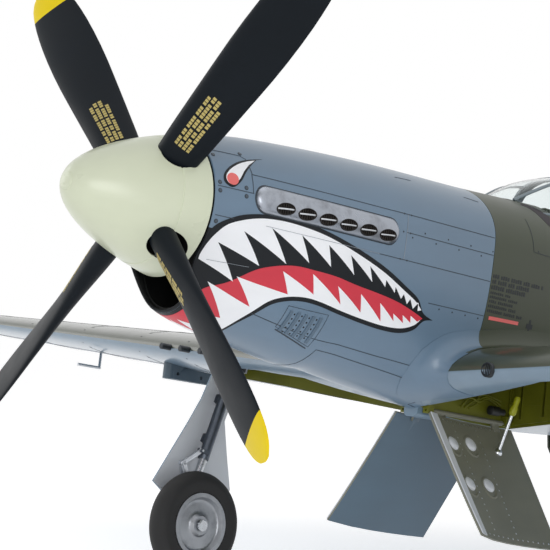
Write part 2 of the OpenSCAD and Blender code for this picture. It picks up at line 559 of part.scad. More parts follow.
spar_y = 432;
spar_a = [0, spar_y, wing_z + 4];
spar_b = [500, spar_y, wing_z + 4 + 500 * tan(dihedral)];
gun_x = [302, 335, 368];
gun_r = 3.2;
gun_in = 8;
light_x = half - 22;
pitot_x = 560;
module gun_bar(x, r, a, b) {
  bar([x, le_y(x) + b, mid_z(x, 0) + 0.5], [x, le_y(x) - a, mid_z(x, 0) + 0.5], r);
}
module light_box(g) {
  translate([light_x - g, le_y(light_x) - 20, mid_z(light_x, 0) - 20]) cube([60, 36 + g, 40]);
}
module wing_half(port) moulded() difference() {
  loft([for (x = wing_xs) wing_ring(x, 0)]);
  bay_cut();
  at_pivot() translate([-46, -cheek[1] - seat_gap, -60])
    cube([64 + seat_gap, 2 * cheek[1] + 2 * seat_gap, 71.5 + seat_gap]);
  servo_body(flap_servo, servo_h, servo_w, seat_gap);
  servo_body(ail_servo, servo_h, servo_w, seat_gap);
  servo_body(tip_block, 6, 8, seat_gap);
  loft([for (x = [flap_x[0] - end_gap, flap_x[1] + end_gap]) cove_ring(x, true)]);
  loft([for (x = [ail_x[0] - end_gap, ail_x[1] + end_gap]) cove_ring(x, false)]);
  bar(spar_a, spar_b + [3, 0, 0.26], (spar_r + seat_gap) / cos(180 / 16), $fn = 16);
  for (x = gun_x) gun_bar(x, (gun_r + seat_gap) / cos(180 / 12), 20, gun_in + seat_gap, $fn = 12);
  light_box(seat_gap);
  if (!port) bar([pitot_x, pitot_y, -20], [pitot_x, pitot_y, -100],
    (pitot_r + seat_gap) / cos(180 / 12), $fn = 12);
}
pitot_y = 372;
pitot_r = 1.6;
module left_wing() color([0.36, 0.38, 0.31]) wing_half(true);
module right_wing() color([0.36, 0.38, 0.31]) mirror([1, 0, 0]) wing_half(false);

module wing_spar() color([0.15, 0.15, 0.16]) union() {
  both_sides() bar(mix(spar_a, spar_b, 0.002), spar_b, spar_r);
}

module bay_liner() moulded() difference() {
  intersection() {
    loft([for (x = bay_xs) bay_ring(x, -seat_gap, -150)]);
    union() {
      translate([bay_x[0] + 8, bay_y1 - 3, -140]) cube([fold_x - 13, 20, 120]);
      for (x = [bay_x[0] + 1, 30, 58, fold_x + 15])
        translate([x, bay_front, -140]) cube([1.6, bay_y1 - bay_front + 2, 120]);
    }
  }
  difference() {
    loft([for (x = bay_xs) [for (p = bay_ring(x, 1, -200)) p - [0, 0, 7]]]);
    translate([bay_x[0] - 2, bay_y1 - 3, -190]) cube([fold_x - 3, 20, 200]);
  }
  below_wing();
}
// Space under the wing's lower skin, which the liner stays above
module below_wing() {
  loft([for (x = [bay_x[1] + 5, kink_x, 150, root_x, 0]) concat(
    [for (k = [0:4]) let (y = mix(280, 420, k / 4)) [x, y, low_z(x, y) + 2.6]],
    [[x, 420, -220], [x, 280, -220]])]);
}
lug_y = [[296.5, 303.5], [398.5, 405.5]];
module wheel_bays() color([0.5, 0.55, 0.12]) both_sides() {
  bay_liner();
  for (y = lug_y) difference() {
    translate([bay_x[0] + seat_gap, y[0], door_hinge[2] - 2.5]) cube([6.5, y[1] - y[0], 9]);
    bar([door_hinge[0], y[0] - 1, door_hinge[2]], [door_hinge[0], y[1] + 1, door_hinge[2]], 1.2 + pin_clear);
  }
}

module bay_door() translate([door_hinge[0], 0, door_hinge[2]]) rotate([0, door_open, 0])
  translate([-door_hinge[0], 0, -door_hinge[2]]) union() {
    moulded() union() {
      loft([for (x = [18.5, 40, 62, 85, 110, door_x[1]]) door_ring(x, 2.2)]);
      for (y = [312, 382]) translate([door_hinge[0] + 1, y, door_hinge[2] - 1.8]) cube([8, 8, 2.6]);
    }
    bar([door_hinge[0], 306, door_hinge[2]], [door_hinge[0], 396, door_hinge[2]], 2.2);
    bar([door_hinge[0], door_pin[0], door_hinge[2]], [door_hinge[0], door_pin[1], door_hinge[2]], 1.2);
  }
module left_bay_door() color([0.4, 0.45, 0.5]) bay_door();
module right_bay_door() color([0.4, 0.45, 0.5]) mirror([1, 0, 0]) bay_door();

module tailplane() color([0.36, 0.38, 0.31]) moulded() difference() {
  loft([for (x = stab_xs) stab_ring(x, 0)]);
  both_sides() loft([for (x = [elev_x[0] - 1, elev_x[1] + end_gap]) elev_cove(x)]);
  translate([-30, elev_y - 12, 0]) cube([60, 100, 100]);
  both_sides() translate([elev_x[1] + end_gap - seat_gap, elev_y - 4 - seat_gap, tail_z - 2.5 - seat_gap])
    cube([8 + 2 * seat_gap, 8 + 2 * seat_gap, 5 + 2 * seat_gap]);
}

module elevators() color([0.36, 0.38, 0.31]) union() {
  both_sides() union() {
    loft([for (x = [elev_x[1], 270, elev_x[0]]) elev_ring(x)]);
    bar([elev_x[1] - 4, elev_y, tail_z], [elev_x[1] + 7, elev_y, tail_z], pin_r);
  }
  bar([-elev_x[0] - 8, elev_y, tail_z], [elev_x[0] + 8, elev_y, tail_z], tube_r);
}

module fin() color([0.36, 0.38, 0.31]) moulded() difference() {
  union() {
    loft([for (z = [40, 56, 66, 78, 92, 107, 185, rud_z[1] + 0.01])
      fin_ring(z, rud_y - 0.3 * (rud_r(z) + hinge_gap))]);
    loft([for (z = [rud_z[1], rud_z[1] + hinge_gap]) fin_ring(z, rud_y - rud_r(z) - 2)]);
    loft([for (z = [rud_z[1] + hinge_gap, 270, 276, fin_top]) fin_ring(z, rud_y + 42)]);
  }
  translate([0, rud_y, rud_z[0] - 20]) cylinder(r1 = rud_r(rud_z[0] - 20) + hinge_gap,
    r2 = rud_r(rud_z[1] + hinge_gap) + hinge_gap, h = rud_z[1] - rud_z[0] + 20 + hinge_gap, $fn = 32);
  body_between(890, 1300, seat_gap);
  translate([-30, 1000, 0]) cube([60, 260, 49]);
  translate([-3 - seat_gap, rud_y - 5 - seat_gap, rud_z[1] + hinge_gap - 1])
    cube([6 + 2 * seat_gap, 10 + 2 * seat_gap, 10 + seat_gap]);
}

rud_pin = 2;
module rudder() color([0.36, 0.38, 0.31]) union() {
  loft([for (z = [rud_z[0], 10, 30, 60, 110, 160, 210, rud_z[1]]) rud_ring(z)]);
  bar([0, rud_y, rud_z[0] - 9], [0, rud_y, rud_z[0] + 5], rud_pin);
  bar([0, rud_y, rud_z[1] - 5], [0, rud_y, rud_z[1] + 7], pin_r);
}

module left_aileron() color([0.36, 0.38, 0.31]) wing_surface(ail_x);
module right_aileron() color([0.36, 0.38, 0.31]) mirror([1, 0, 0]) wing_surface(ail_x);
module left_flap() color([0.36, 0.38, 0.31]) wing_surface(flap_x);
module right_flap() color([0.36, 0.38, 0.31]) mirror([1, 0, 0]) wing_surface(flap_x);

module servos() color([0.13, 0.14, 0.17]) {
  both_sides() {
    difference() {
      servo_body(flap_servo, servo_h, servo_w, 0);
      bar(hinge_p(flap_x[0] - 13), hinge_p(flap_x[0]), pin_r + pin_clear);
    }
    difference() {
      servo_body(ail_servo, servo_h, servo_w, 0);
      bar(hinge_p(flap_x[1] - 1), hinge_p(flap_x[1] + 10), pin_r + pin_clear);
      bar(hinge_p(ail_x[0] - 13), hinge_p(ail_x[0]), pin_r + pin_clear);
    }
  }
  difference() {
    translate([-6, elev_y - 12 + seat_gap, tail_z - 6]) cube([12, 18, 12]);
    bar([-10, elev_y, tail_z], [10, elev_y, tail_z], tube_r + pin_clear);
  }
  difference() {
    translate([-6, tail_post + seat_gap, rud_z[0] - 13]) cube([12, rud_y - tail_post + 9, 12]);
    bar([0, rud_y, rud_z[0] - 20], [0, rud_y, rud_z[0]], rud_pin + pin_clear);
  }
}

module hinge_blocks() color([0.2, 0.2, 0.22]) {
  both_sides() {
    difference() {
      servo_body(tip_block, 6, 8, 0);
      bar(hinge_p(ail_x[1] - 1), hinge_p(ail_x[1] + 20), pin_r + pin_clear);
    }
    difference() {
      translate([elev_x[1] + end_gap, elev_y - 4, tail_z - 2.5]) cube([8, 8, 5]);
      bar([elev_x[1], elev_y, tail_z], [elev_x[1] + 20, elev_y, tail_z], pin_r + pin_clear);
    }
  }
  difference() {
    translate([-3, rud_y - 5, rud_z[1] + hinge_gap]) cube([6, 10, 9]);
    bar([0, rud_y, rud_z[1]], [0, rud_y, rud_z[1] + 20], pin_r + pin_clear);
  }
}

module retract_units() color([0.25, 0.26, 0.28]) both_sides() at_pivot() difference() {
  union() {
    for (s = [-cheek[1], cheek[0]]) translate([-8, s, -8]) cube([26, cheek[1] - cheek[0], 19.5]);
    translate([-8, -cheek[1], 9]) cube([26, 2 * cheek[1], 2.5]);
    translate([15, -cheek[1], -8]) cube([3, 2 * cheek[1], 19.5]);
  }
  translate([0, 20, 0]) rotate([90, 0, 0]) cylinder(r = trunnion_r + pin_clear, h = 40);
}

module fold_back() {
  translate(pivot) rotate(a = -fold_deg, v = fold_axis) translate(-pivot) children();
}
leg_door_t = 1.8;
module leg_door() moulded() fold_back()
  loft([for (x = [leg_door_x[1], fold_x + 55, fold_x + 27, fold_x, leg_door_x[0]]) door_ring(x, leg_door_t)]);
module left_leg_door() color([0.4, 0.45, 0.5]) leg_door();
module right_leg_door() color([0.4, 0.45, 0.5]) mirror([1, 0, 0]) leg_door();

leg_fwd = cross(u0, e0);
tube_end = 104;
link_len = 26;
link_up = 98;
link_low = 138;
link_off = 8.5;
link_pin = 1.2;
ear_t = 1.4;
link_x = -3.6;
tongue = 1.6;
link_w = tongue + 0.3 + ear_t;
link_ears = [link_x + tongue + 0.3, link_x - tongue - 0.3 - ear_t];
function on_leg(s, f) = pivot + u0 * s + leg_fwd * f;
link_rise = sqrt(link_len ^ 2 - ((link_low - link_up) / 2) ^ 2);
link_apex = on_leg((link_up + link_low) / 2, link_off + link_rise);
module across(p, a, b, r) {
  bar(p + [a, 0, 0], p + [b, 0, 0], r);
}
// A flat block, a lug with one rounded end, and a link with two
module bar_block(p, q, a, b, w) {
  d = unit(q - p);
  on_axes(p, [1, 0, 0], cross(d, [1, 0, 0]), d) translate([a, -w / 2, 0])
    cube([b - a, w, norm(q - p)]);
}
module flat_bar(p, q, a, b) {
  d = unit(q - p);
  on_axes(p + [a, 0, 0], d, cross([1, 0, 0], d), [1, 0, 0]) linear_extrude(b - a) children();
}
module bar_end(p, q, a, b, w) {
  flat_bar(p, q, a, b) {
    translate([norm(q - p), 0]) circle(w / 2);
    translate([0, 0.3 - w / 2]) square([norm(q - p), w - 0.6]);
  }
}
module link_plate(p, q, a, b, w) {
  flat_bar(p, q, a, b) {
    circle(w / 2);
    translate([norm(q - p), 0]) circle(w / 2);
    translate([0, 0.3 - w / 2]) square([norm(q - p), w - 0.6]);
  }
}
bracket_s = [40, 82];
// A post from the leg to the inner face of its door
module bracket(p) {
  corners = [[-4, -4], [4, -4], [4, 4], [-4, 4]];
  loft([[for (c = corners) [p[0] + c[0], p[1] + c[1], p[2] - 2]],
    [for (c = corners) let (x = p[0] + c[0], y = p[1] + c[1]) [x, y, low_z(x, y) + leg_door_t + 0.3]]]);
}
module leg() {
  difference() {
    union() {
      bar(pivot, on_leg(tube_end, 0), strut_r);
      at_pivot() translate([0, cheek[0] - 0.4, 0]) rotate([90, 0, 0])
        cylinder(r = 6.5, h = 2 * cheek[0] - 0.8);
      at_pivot() translate([0, cheek[1], 0]) rotate([90, 0, 0])
        cylinder(r = trunnion_r, h = 2 * cheek[1]);
      for (s = link_ears) bar_end(on_leg(link_up, 0), on_leg(link_up, link_off), s, s + ear_t, 5);
      bar_block(on_leg(link_up, 0), on_leg(link_up, 5.4), link_x - link_w + 0.4, link_x + link_w - 0.4, 3.8);
      fold_back() for (s = bracket_s) bracket(pivot + u1 * s);
    }
    bar(on_leg(24, 0), on_leg(tube_end + 1, 0), piston_r + pin_clear);
    across(on_leg(link_up, link_off), -12, 6, link_pin + pin_clear);
  }
}
module left_leg() color([0.62, 0.63, 0.65]) leg();
module right_leg() color([0.62, 0.63, 0.65]) mirror([1, 0, 0]) leg();

hub_w = 22;
axle_end = track / 2 - hub_w / 2 - 3;
module oleo() {
  a = axle_p;
  difference() {
    union() {
      bar(on_leg(36, 0), on_leg(119, 0), piston_r);
      bar(on_leg(118, 0), on_leg(leg_len, 0), piston_r + 1.2);
      bar(a + [6, 0, 0], [track / 2 + hub_w / 2 + 0.5, a[1], a[2]], 7);
      bar(a, [axle_end + 1, a[1], a[2]], axle_d / 2);
      bar([axle_end + 2.5, a[1], a[2]], [axle_end, a[1], a[2]], axle_d / 2 + 2.5);
      bar_end(on_leg(link_low, 0), on_leg(link_low, link_off), link_x - tongue, link_x + tongue, 5);
    }
    across(on_leg(link_low, link_off), -12, 6, link_pin + pin_clear);
  }
}
module left_oleo() color([0.8, 0.81, 0.83]) oleo();
module right_oleo() color([0.8, 0.81, 0.83]) mirror([1, 0, 0]) oleo();

module upper_link() union() {
  link_plate(on_leg(link_up, link_off), link_apex, link_x - tongue, link_x + tongue, 4.4);
  across(on_leg(link_up, link_off), link_x - link_w, link_x + link_w, link_pin);
  across(link_apex, link_x - link_w, link_x + link_w, link_pin);
}
module lower_link() difference() {
  union() {
    for (s = link_ears) link_plate(on_leg(link_low, link_off), link_apex, s, s + ear_t, 5);
    across(on_leg(link_low, link_off), link_x - link_w + 0.3, link_x + link_w - 0.3, link_pin);
  }
  across(link_apex, -12, 6, link_pin + 0.6);
}
module left_upper_link() color([0.7, 0.7, 0.72]) upper_link();
module right_upper_link() color([0.7, 0.7, 0.72]) mirror([1, 0, 0]) upper_link();
module left_lower_link() color([0.7, 0.7, 0.72]) lower_link();
module right_lower_link() color([0.7, 0.7, 0.72]) mirror([1, 0, 0]) lower_link();

rim_r = 31;
module at_wheel() {
  translate([track / 2, wheel_y, -wheel_drop]) rotate([0, 90, 0]) children();
}
module hub() at_wheel() rotate_extrude() polygon([[axle_d / 2 + pin_clear, -hub_w / 2], [9, -hub_w / 2],
  [12, -7], [24, -6], [27, -11], [rim_r, -11], [rim_r, 11], [27, 11], [24, 6], [12, 7], [9, hub_w / 2],
  [axle_d / 2 + pin_clear, hub_w / 2]]);
module tyre() at_wheel() rotate_extrude() polygon(concat([[rim_r + seat_gap, -10.5]],
  [for (a = [-80:16:80]) [wheel_r + tyre_w / 2 * (cos(a) - 1), tyre_w / 2 * sin(a) / sin(80)]],
  [[rim_r + seat_gap, 10.5]]));
module left_hub() color([0.7, 0.71, 0.73]) hub();
module right_hub() color([0.7, 0.71, 0.73]) mirror([1, 0, 0]) hub();
module left_tyre() color([0.08, 0.08, 0.09]) tyre();
module right_tyre() color([0.08, 0.08, 0.09]) mirror([1, 0, 0]) tyre();

module wing_above() {
  loft([for (x = [-80, -root_x, -0.01, 0.01, root_x, 80]) let (a = abs(x)) concat(
    [for (k = [0:af_n]) [x, le_y(a) + af_f[k] * chord(a) + (k == af_n ? seat_gap : 0),
      mid_z(a, af_f[k]) - half_t(a, af_f[k]) - seat_gap]],
    [[x, te_y(a) + seat_gap, -40], [x, le_y(a), -40]])]);
}
scoop_ys = [530, 560, 620, 680, 740, 800, 855, 905];
module belly_scoop() color([0.42, 0.47, 0.52]) moulded() difference() {
  loft([for (y = scoop_ys) scoop_ring(y, 0)]);
  loft([for (y = scoop_ys) [for (p = scoop_ring(y, skin)) p + [0, y == 530 ? -1 : y == 905 ? 1 : 0, 0]]]);
  wing_above();
  body_between(450, 1000, seat_gap);
}
module radiator() color([0.6, 0.55, 0.4]) moulded() difference() {
  intersection() {
    loft([for (y = scoop_ys) scoop_ring(y, skin + seat_gap)]);
    translate([-80, 636, -200]) cube([160, 22, 200]);
  }
  wing_above();
  body_between(450, 1000, seat_gap);
}

module windscreen() color([0.8, 0.88, 0.9, 0.4]) moulded() difference() {
  glz_shell(screen_ys, 0, -glass_t);
  body_between(300, 560, seat_gap);
}
module windscreen_frame() color([0.45, 0.5, 0.52]) moulded() difference() {
  glz_shell([bow_y - 9, bow_y], 1.3, seat_gap);
  body_between(300, 560, seat_gap);
}
module canopy() color([0.8, 0.88, 0.9, 0.4]) moulded() difference() {
  glz_shell(hood_ys, 0, -glass_t);
  body_between(400, 860, canopy_gap);
}
module canopy_frame() color([0.45, 0.5, 0.52]) moulded() difference() {
  intersection() {
    glz_shell(hood_ys, 1.3, skin_gap);
    fus_solid([440, 560, 680, 800], 8);
  }
  body_between(400, 860, canopy_gap);
}

module cockpit() color([0.2, 0.24, 0.2]) {
  w = cock_x - seat_gap;
  y0 = cock_y[0] + seat_gap;
  y1 = cock_y[1] - seat_gap;
  union() {
    difference() {
      translate([-w, y0, -8]) cube([2 * w, y1 - y0, 62]);
      translate([-w + 2.5, y0 + 2.5, -5]) cube([2 * w - 5, y1 - y0 - 5, 100]);
    }
    both_sides() translate([w - 2.5, 430, 40]) cube([2.5, 225, 28]);
    translate([-w + 1, 434, 10]) cube([2 * w - 2, 4, 62]);
    translate([-34, y0 + 1, 66]) cube([68, 38, 10]);
    translate([-20, 540, -6]) cube([40, 44, 14]);
    translate([-20, 584, -6]) cube([40, 6, 88]);
    translate([-w + 1, 440, -6]) cube([14, 180, 36]);
    translate([w - 15, 440, -6]) cube([14, 180, 36]);
    translate([0, 500, -6]) cylinder(r = 2.5, h = 40);
  }
}

module pylon() difference() {
  translate([410, 0, -92]) linear_extrude(40) union() {
    translate([0, 352]) circle(r = 7);
    polygon([[-7, 352], [7, 352], [5.5, 385], [1, 416], [-1, 416], [-5.5, 385]]);
  }
  loft([for (x = [390, 430]) concat(
    [for (k = [0:8]) let (y = mix(330, 440, k / 8)) [x, y, low_z(x, y) - skin_gap]],
    [[x, 440, 0], [x, 330, 0]])]);
  for (y = [358, 392]) bar([400, y, -86], [420, y, -86], 2);
}
module pylons() color([0.28, 0.33, 0.38]) both_sides() pylon();

module pitot() color([0.3, 0.33, 0.36]) {
  z = low_z(pitot_x, pitot_y);
  union() {
    bar([-pitot_x, pitot_y, z + 5], [-pitot_x, pitot_y, z - 18], pitot_r);
    bar([-pitot_x, pitot_y + 1, z - 17], [-pitot_x, pitot_y - 30, z - 17], pitot_r);
  }
}

module gun_barrels() color([0.25, 0.25, 0.27]) both_sides() for (x = gun_x) gun_bar(x, gun_r, 11, gun_in);

module nav_lights() color([0.7, 0.2, 0.2, 0.6]) moulded() both_sides() intersection() {
  loft([for (x = [light_x - 20, half - 25, half - 14, half - 6, half]) wing_ring(x, 0)]);
  light_box(0);
}

module tail_bracket() color([0.5, 0.5, 0.52]) difference() {
  intersection() {
    fus_solid([1075, 1095], -skin - seat_gap);
    translate([-60, 1070, -34]) cube([120, 40, 18]);
  }
  bar([0, steer_y, -60], [0, steer_y, 0], 4 + pin_clear);
}
module tail_fork() color([0.62, 0.63, 0.65]) union() {
  bar([0, steer_y, -16], [0, steer_y, -70], 4);
  bar([0, steer_y, -35], [0, steer_y, -38], 8);
  hull() {
    translate([-11, steer_y - 5, -76]) cube([22, 10, 8]);
    translate([-11, steer_y - 2, tail_axle + tail_r + 4]) cube([22, 12, 4]);
  }
  for (s = [-11, 8]) hull() {
    translate([s, steer_y - 2, tail_axle + tail_r + 4]) cube([3, 12, 4]);
    translate([s, tail_y, tail_axle]) rotate([0, 90, 0]) cylinder(r = 5, h = 3);
  }
  bar([-11, tail_y, tail_axle], [11, tail_y, tail_axle], 2);
}
module tail_wheel() color([0.1, 0.1, 0.11]) translate([0, tail_y, tail_axle]) rotate([0, 90, 0])
  rotate_extrude() polygon(concat([[2 + pin_clear, -tail_w / 2]],
    [for (a = [-80:20:80]) [tail_r + tail_w / 2 * (cos(a) - 1), tail_w / 2 * sin(a)]],
    [[2 + pin_clear, tail_w / 2]]));

parked() {
  cowl();
  fuselage();
  bulkheads();
  battery_tray();
  motor_stator();
  electronics();
  battery();
  exhaust_shrouds();
  exhaust_stacks();
  left_wing();
  right_wing();
  wing_spar();
  wheel_bays();
  tailplane();
  fin();
  belly_scoop();
  radiator();
  windscreen();
  windscreen_frame();
  cockpit();
  servos();
  hinge_blocks();
  retract_units();
  gun_barrels();
  pylons();
  pitot();
  nav_lights();
  tail_bracket();
  spinner_cone();
  spinner_backplate();
  propeller_blades();
  prop_shaft();
  motor_bell();
  left_aileron();
  right_aileron();
  left_flap();
  right_flap();
  elevators();
  rudder();
  left_leg();
  right_leg();
  left_leg_door();
  right_leg_door();
  left_oleo();
  right_oleo();
  left_hub();
  right_hub();
  left_tyre();
  right_tyre();
  left_upper_link();
  right_upper_link();
  left_lower_link();
  right_lower_link();
  left_bay_door();
  right_bay_door();
  canopy();
  canopy_frame();
  tail_fork();
  tail_wheel();
}
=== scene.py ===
import json
import math

import bpy
from mathutils import Matrix, Vector

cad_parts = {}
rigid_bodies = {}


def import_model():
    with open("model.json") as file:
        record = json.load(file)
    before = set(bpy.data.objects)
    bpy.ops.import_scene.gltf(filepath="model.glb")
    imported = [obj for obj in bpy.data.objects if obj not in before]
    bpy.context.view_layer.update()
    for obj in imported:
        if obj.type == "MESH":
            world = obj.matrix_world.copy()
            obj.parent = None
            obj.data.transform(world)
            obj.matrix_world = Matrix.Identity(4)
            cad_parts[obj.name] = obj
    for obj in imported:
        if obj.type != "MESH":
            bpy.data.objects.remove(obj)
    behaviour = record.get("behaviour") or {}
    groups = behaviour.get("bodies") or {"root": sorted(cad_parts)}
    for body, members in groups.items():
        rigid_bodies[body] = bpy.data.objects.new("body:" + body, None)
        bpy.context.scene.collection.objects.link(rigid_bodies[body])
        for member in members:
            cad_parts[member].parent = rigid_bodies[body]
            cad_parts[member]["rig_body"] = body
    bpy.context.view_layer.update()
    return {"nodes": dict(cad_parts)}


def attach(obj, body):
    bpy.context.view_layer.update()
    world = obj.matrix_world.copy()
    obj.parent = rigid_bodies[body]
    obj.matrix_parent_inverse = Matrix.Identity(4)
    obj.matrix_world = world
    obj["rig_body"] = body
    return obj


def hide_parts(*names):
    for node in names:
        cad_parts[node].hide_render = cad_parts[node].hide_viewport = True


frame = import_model()

# The plane's own axes in millimetres: x to port, y aft from the back of the spinner, z up from the shaft.
PARK_ANGLE = math.radians(10.5)
WHEEL_R, WHEEL_Y, WHEEL_DROP = 51.5, 292, 240
MID_Y = 633.8
LIFT = WHEEL_R + WHEEL_Y * math.sin(PARK_ANGLE) + WHEEL_DROP * math.cos(PARK_ANGLE)
BODY_UP = Vector((0, math.sin(PARK_ANGLE), math.cos(PARK_ANGLE)))


def turned(v):
    """A direction in the plane's axes, in the row frame."""
    c, s = math.cos(PARK_ANGLE), math.sin(PARK_ANGLE)
    return Vector((v[0], v[1] * c + v[2] * s, -v[1] * s + v[2] * c))


def at(x, y, z):
    """A point in the plane's axes, in the row frame, in metres."""
    return (turned((x, y, z)) + Vector((0, -MID_Y, LIFT))) / 1000


def plane_turned(v):
    """A row frame direction in the plane's axes."""
    c, s = math.cos(PARK_ANGLE), math.sin(PARK_ANGLE)
    return Vector((v[0], v[1] * c - v[2] * s, v[1] * s + v[2] * c))


def plane_of(p):
    """A row frame point in the plane's axes, in millimetres."""
    return plane_turned(Vector(p) * 1000 - Vector((0, -MID_Y, LIFT)))


def mix(a, b, u):
    return a + (b - a) * u


def ease(u):
    u = min(1, max(0, u))
    return u * u * (3 - 2 * u)


def full_turn(n):
    return [2 * math.pi * k / n for k in range(n)]


def evenly(a, b, n):
    """The ends of n equal steps from a to b."""
    return [mix(a, b, k / n) for k in range(n + 1)]


def add_object(name, data):
    obj = bpy.data.objects.new(name, data)
    bpy.context.scene.collection.objects.link(obj)
    return obj


def axes_at(p, x, y, z):
    """Puts a piece's own x, y and z along three directions at a point of the plane's axes."""
    return Matrix.Translation(at(*p)) @ Matrix((turned(x), turned(y), turned(z))).transposed().to_4x4()


# Camera at the photograph's place
CAMERA_AT = (1130.1, -886.9, -239.9)
CAMERA_RIGHT, CAMERA_UP = Vector((0.6719, 0.7329, 0.1068)), Vector((0.0285, -0.1698, 0.9851))
CAMERA_LENS = 123.46


def add_camera():
    data = bpy.data.cameras.new("camera")
    data.sensor_width = 36
    data.lens = CAMERA_LENS
    data.clip_end = 100
    camera = add_object("camera", data)
    camera.matrix_world = axes_at(CAMERA_AT, CAMERA_RIGHT, CAMERA_UP, CAMERA_RIGHT.cross(CAMERA_UP))
    bpy.context.scene.camera = camera


# Modelling helpers; faces that meet at more than the smoothing angle keep a sharp edge
SMOOTH_ANGLE = 32
TUBE_SIDES = 12


def clear():
    if bpy.context.object and bpy.context.object.mode != "OBJECT":
        bpy.ops.object.mode_set(mode="OBJECT")
    bpy.ops.object.select_all(action="DESELECT")


def pick(obj):
    clear()
    obj.select_set(True)
    bpy.context.view_layer.objects.active = obj


def edit(obj):
    pick(obj)
    bpy.ops.object.mode_set(mode="EDIT")
    bpy.ops.mesh.select_all(action="SELECT")


def smooth(obj, angle=SMOOTH_ANGLE):
    pick(obj)
    bpy.ops.object.shade_smooth_by_angle(angle=math.radians(angle))
    return obj


def apply_modifier(obj, kind, **values):
    pick(obj)
    modifier = obj.modifiers.new(kind.lower(), kind)
    for key, value in values.items():
        setattr(modifier, key, value)
    bpy.ops.object.modifier_apply(modifier=modifier.name)
    return obj


def even(obj):
    """Smooth shading in which the large faces stay true."""
    smooth(obj, 30)
    return apply_modifier(obj, "WEIGHTED_NORMAL", weight=100, keep_sharp=True)


def face_out(obj):
    edit(obj)
    bpy.ops.mesh.normals_make_consistent(inside=False)


def thicken(obj, mm, offset=-1):
    return apply_modifier(obj, "SOLIDIFY", thickness=mm / 1000, offset=offset)


def sheet(obj, mm, angle=SMOOTH_ANGLE, offset=-1):
    """Gives a thin skin its thickness, with every face turned outwards."""
    thicken(obj, mm, offset)
    face_out(obj)
    return smooth(obj, angle)


def cut(obj, *cutters):
    for cutter in cutters:
        apply_modifier(obj, "BOOLEAN", object=cutter, operation="DIFFERENCE", solver="EXACT")
        bpy.data.objects.remove(cutter)
    return obj


def join(name, objs):
    clear()
    for o in objs:
        o.select_set(True)
    bpy.context.view_layer.objects.active = objs[0]
    if len(objs) > 1:
        bpy.ops.object.join()
    obj = bpy.context.view_layer.objects.active
    obj.name = name
    return obj


def scatter(name, source, places):
    """Joins copies of one object, each moved by a matrix."""
    copies = []
    for place in places:
        obj = add_object("copy", source.data.copy())
        obj.data.transform(place)
        copies.append(obj)
    bpy.data.objects.remove(source)
    return join(name, copies)


def loft(name, rings, around=True, caps=True, angle=SMOOTH_ANGLE):
    """A skin over a row of rings, each a list of points in the plane's axes."""
    n, m = len(rings[0]), len(rings)
    across = n if around else n - 1
    clear()
    bpy.ops.mesh.primitive_grid_add(x_subdivisions=across, y_subdivisions=m - 1, size=2)
    obj = bpy.context.object
    obj.name = name
    for v in obj.data.vertices:
        i = round((v.co.x + 1) / 2 * across) % n
        j = round((v.co.y + 1) / 2 * (m - 1))
        v.co = at(*rings[j][i])
    edit(obj)
    bpy.ops.mesh.remove_doubles(threshold=1e-6)
    if caps:
        bpy.ops.mesh.fill_holes(sides=0)
        face_out(obj)
    return smooth(obj, angle)


def headings(path):
    """The direction of a path at each of its points."""
    last = len(path) - 1
    return [(path[min(k + 1, last)] - path[max(k - 1, 0)]).normalized() for k in range(last + 1)]


def ribbon(path, outs, width):
    """A flat strip along a path, facing the outward directions given for its points."""
    rings = []
    for p, out, along in zip(path, outs, headings(path)):
        side = out.cross(along).normalized() * width / 2
        rings.append([p - side, p + side])
    return rings


def tube(name, path, radius):
    """A round bar, hose or wire along a row of points, with one radius or one for each point."""
    radii = radius if isinstance(radius, list) else [radius] * len(path)
    rings = []
    side = headings(path)[0].orthogonal().normalized()
    for p, along, r in zip(path, headings(path), radii):
        side = (side - along * side.dot(along)).normalized()
        other = along.cross(side)
        rings.append([p + side * (r * math.cos(t)) + other * (r * math.sin(t))
                      for t in full_turn(TUBE_SIDES)])
    return loft(name, rings, angle=50)


def curve_through(points, steps=8, closed=False):
    """Points on a smooth curve through a few chosen points of any dimension."""
    n = len(points)
    out = []
    for k in range(n if closed else n - 1):
        ids = [k - 1, k, k + 1, k + 2]
        p = [Vector(points[i % n] if closed else points[min(max(i, 0), n - 1)]) for i in ids]
        slope, bend = p[2] - p[0], 2 * p[0] - 5 * p[1] + 4 * p[2] - p[3]
        twist = 3 * p[1] - p[0] - 3 * p[2] + p[3]
        for u in (s / steps for s in range(steps)):
            out.append(0.5 * (2 * p[1] + slope * u + bend * u ** 2 + twist * u ** 3))
    if not closed:
        out.append(Vector(points[-1]))
    return out


def dress(obj, finish, slot, *nodes, body="airframe"):
    """Finishes a piece: its material, the body that carries it, and the solids that it stands for."""
    obj.data.materials.clear()
    obj.data.materials.append(M[finish])
    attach(obj, body)
    if nodes:
        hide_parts(*nodes)
    return obj


def paint_faces(obj, finish, wanted):
    """Gives a second finish to the faces that a test picks by place and direction."""
    obj.data.materials.append(M[finish])
    index = len(obj.data.materials) - 1
    for face in obj.data.polygons:
        if wanted(plane_of(face.center), plane_turned(face.normal)):
            face.material_index = index


def fair(node, finish, slot):
    """A clean, smooth copy of a solid that stands in its place."""
    source = frame["nodes"][node]
    obj = add_object(node + "_finish", source.data.copy())
    edit(obj)
    bpy.ops.mesh.remove_doubles(threshold=2e-6)
    even(obj)
    return dress(obj, finish, slot, node, body=source["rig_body"])


# Materials
def srgb(code):
    parts = [int(code[i:i + 2], 16) / 255 for i in (0, 2, 4)]
    return tuple(c / 12.92 if c <= 0.04045 else ((c + 0.055) / 1.055) ** 2.4 for c in parts) + (1,)


def fill(tree, node, inputs):
    """Gives a node's inputs their values or links, by socket name or number."""
    for socket, source in inputs.items():
        if isinstance(source, bpy.types.NodeSocket):
            tree.links.new(source, node.inputs[socket])
        else:
            node.inputs[socket].default_value = source
    return node


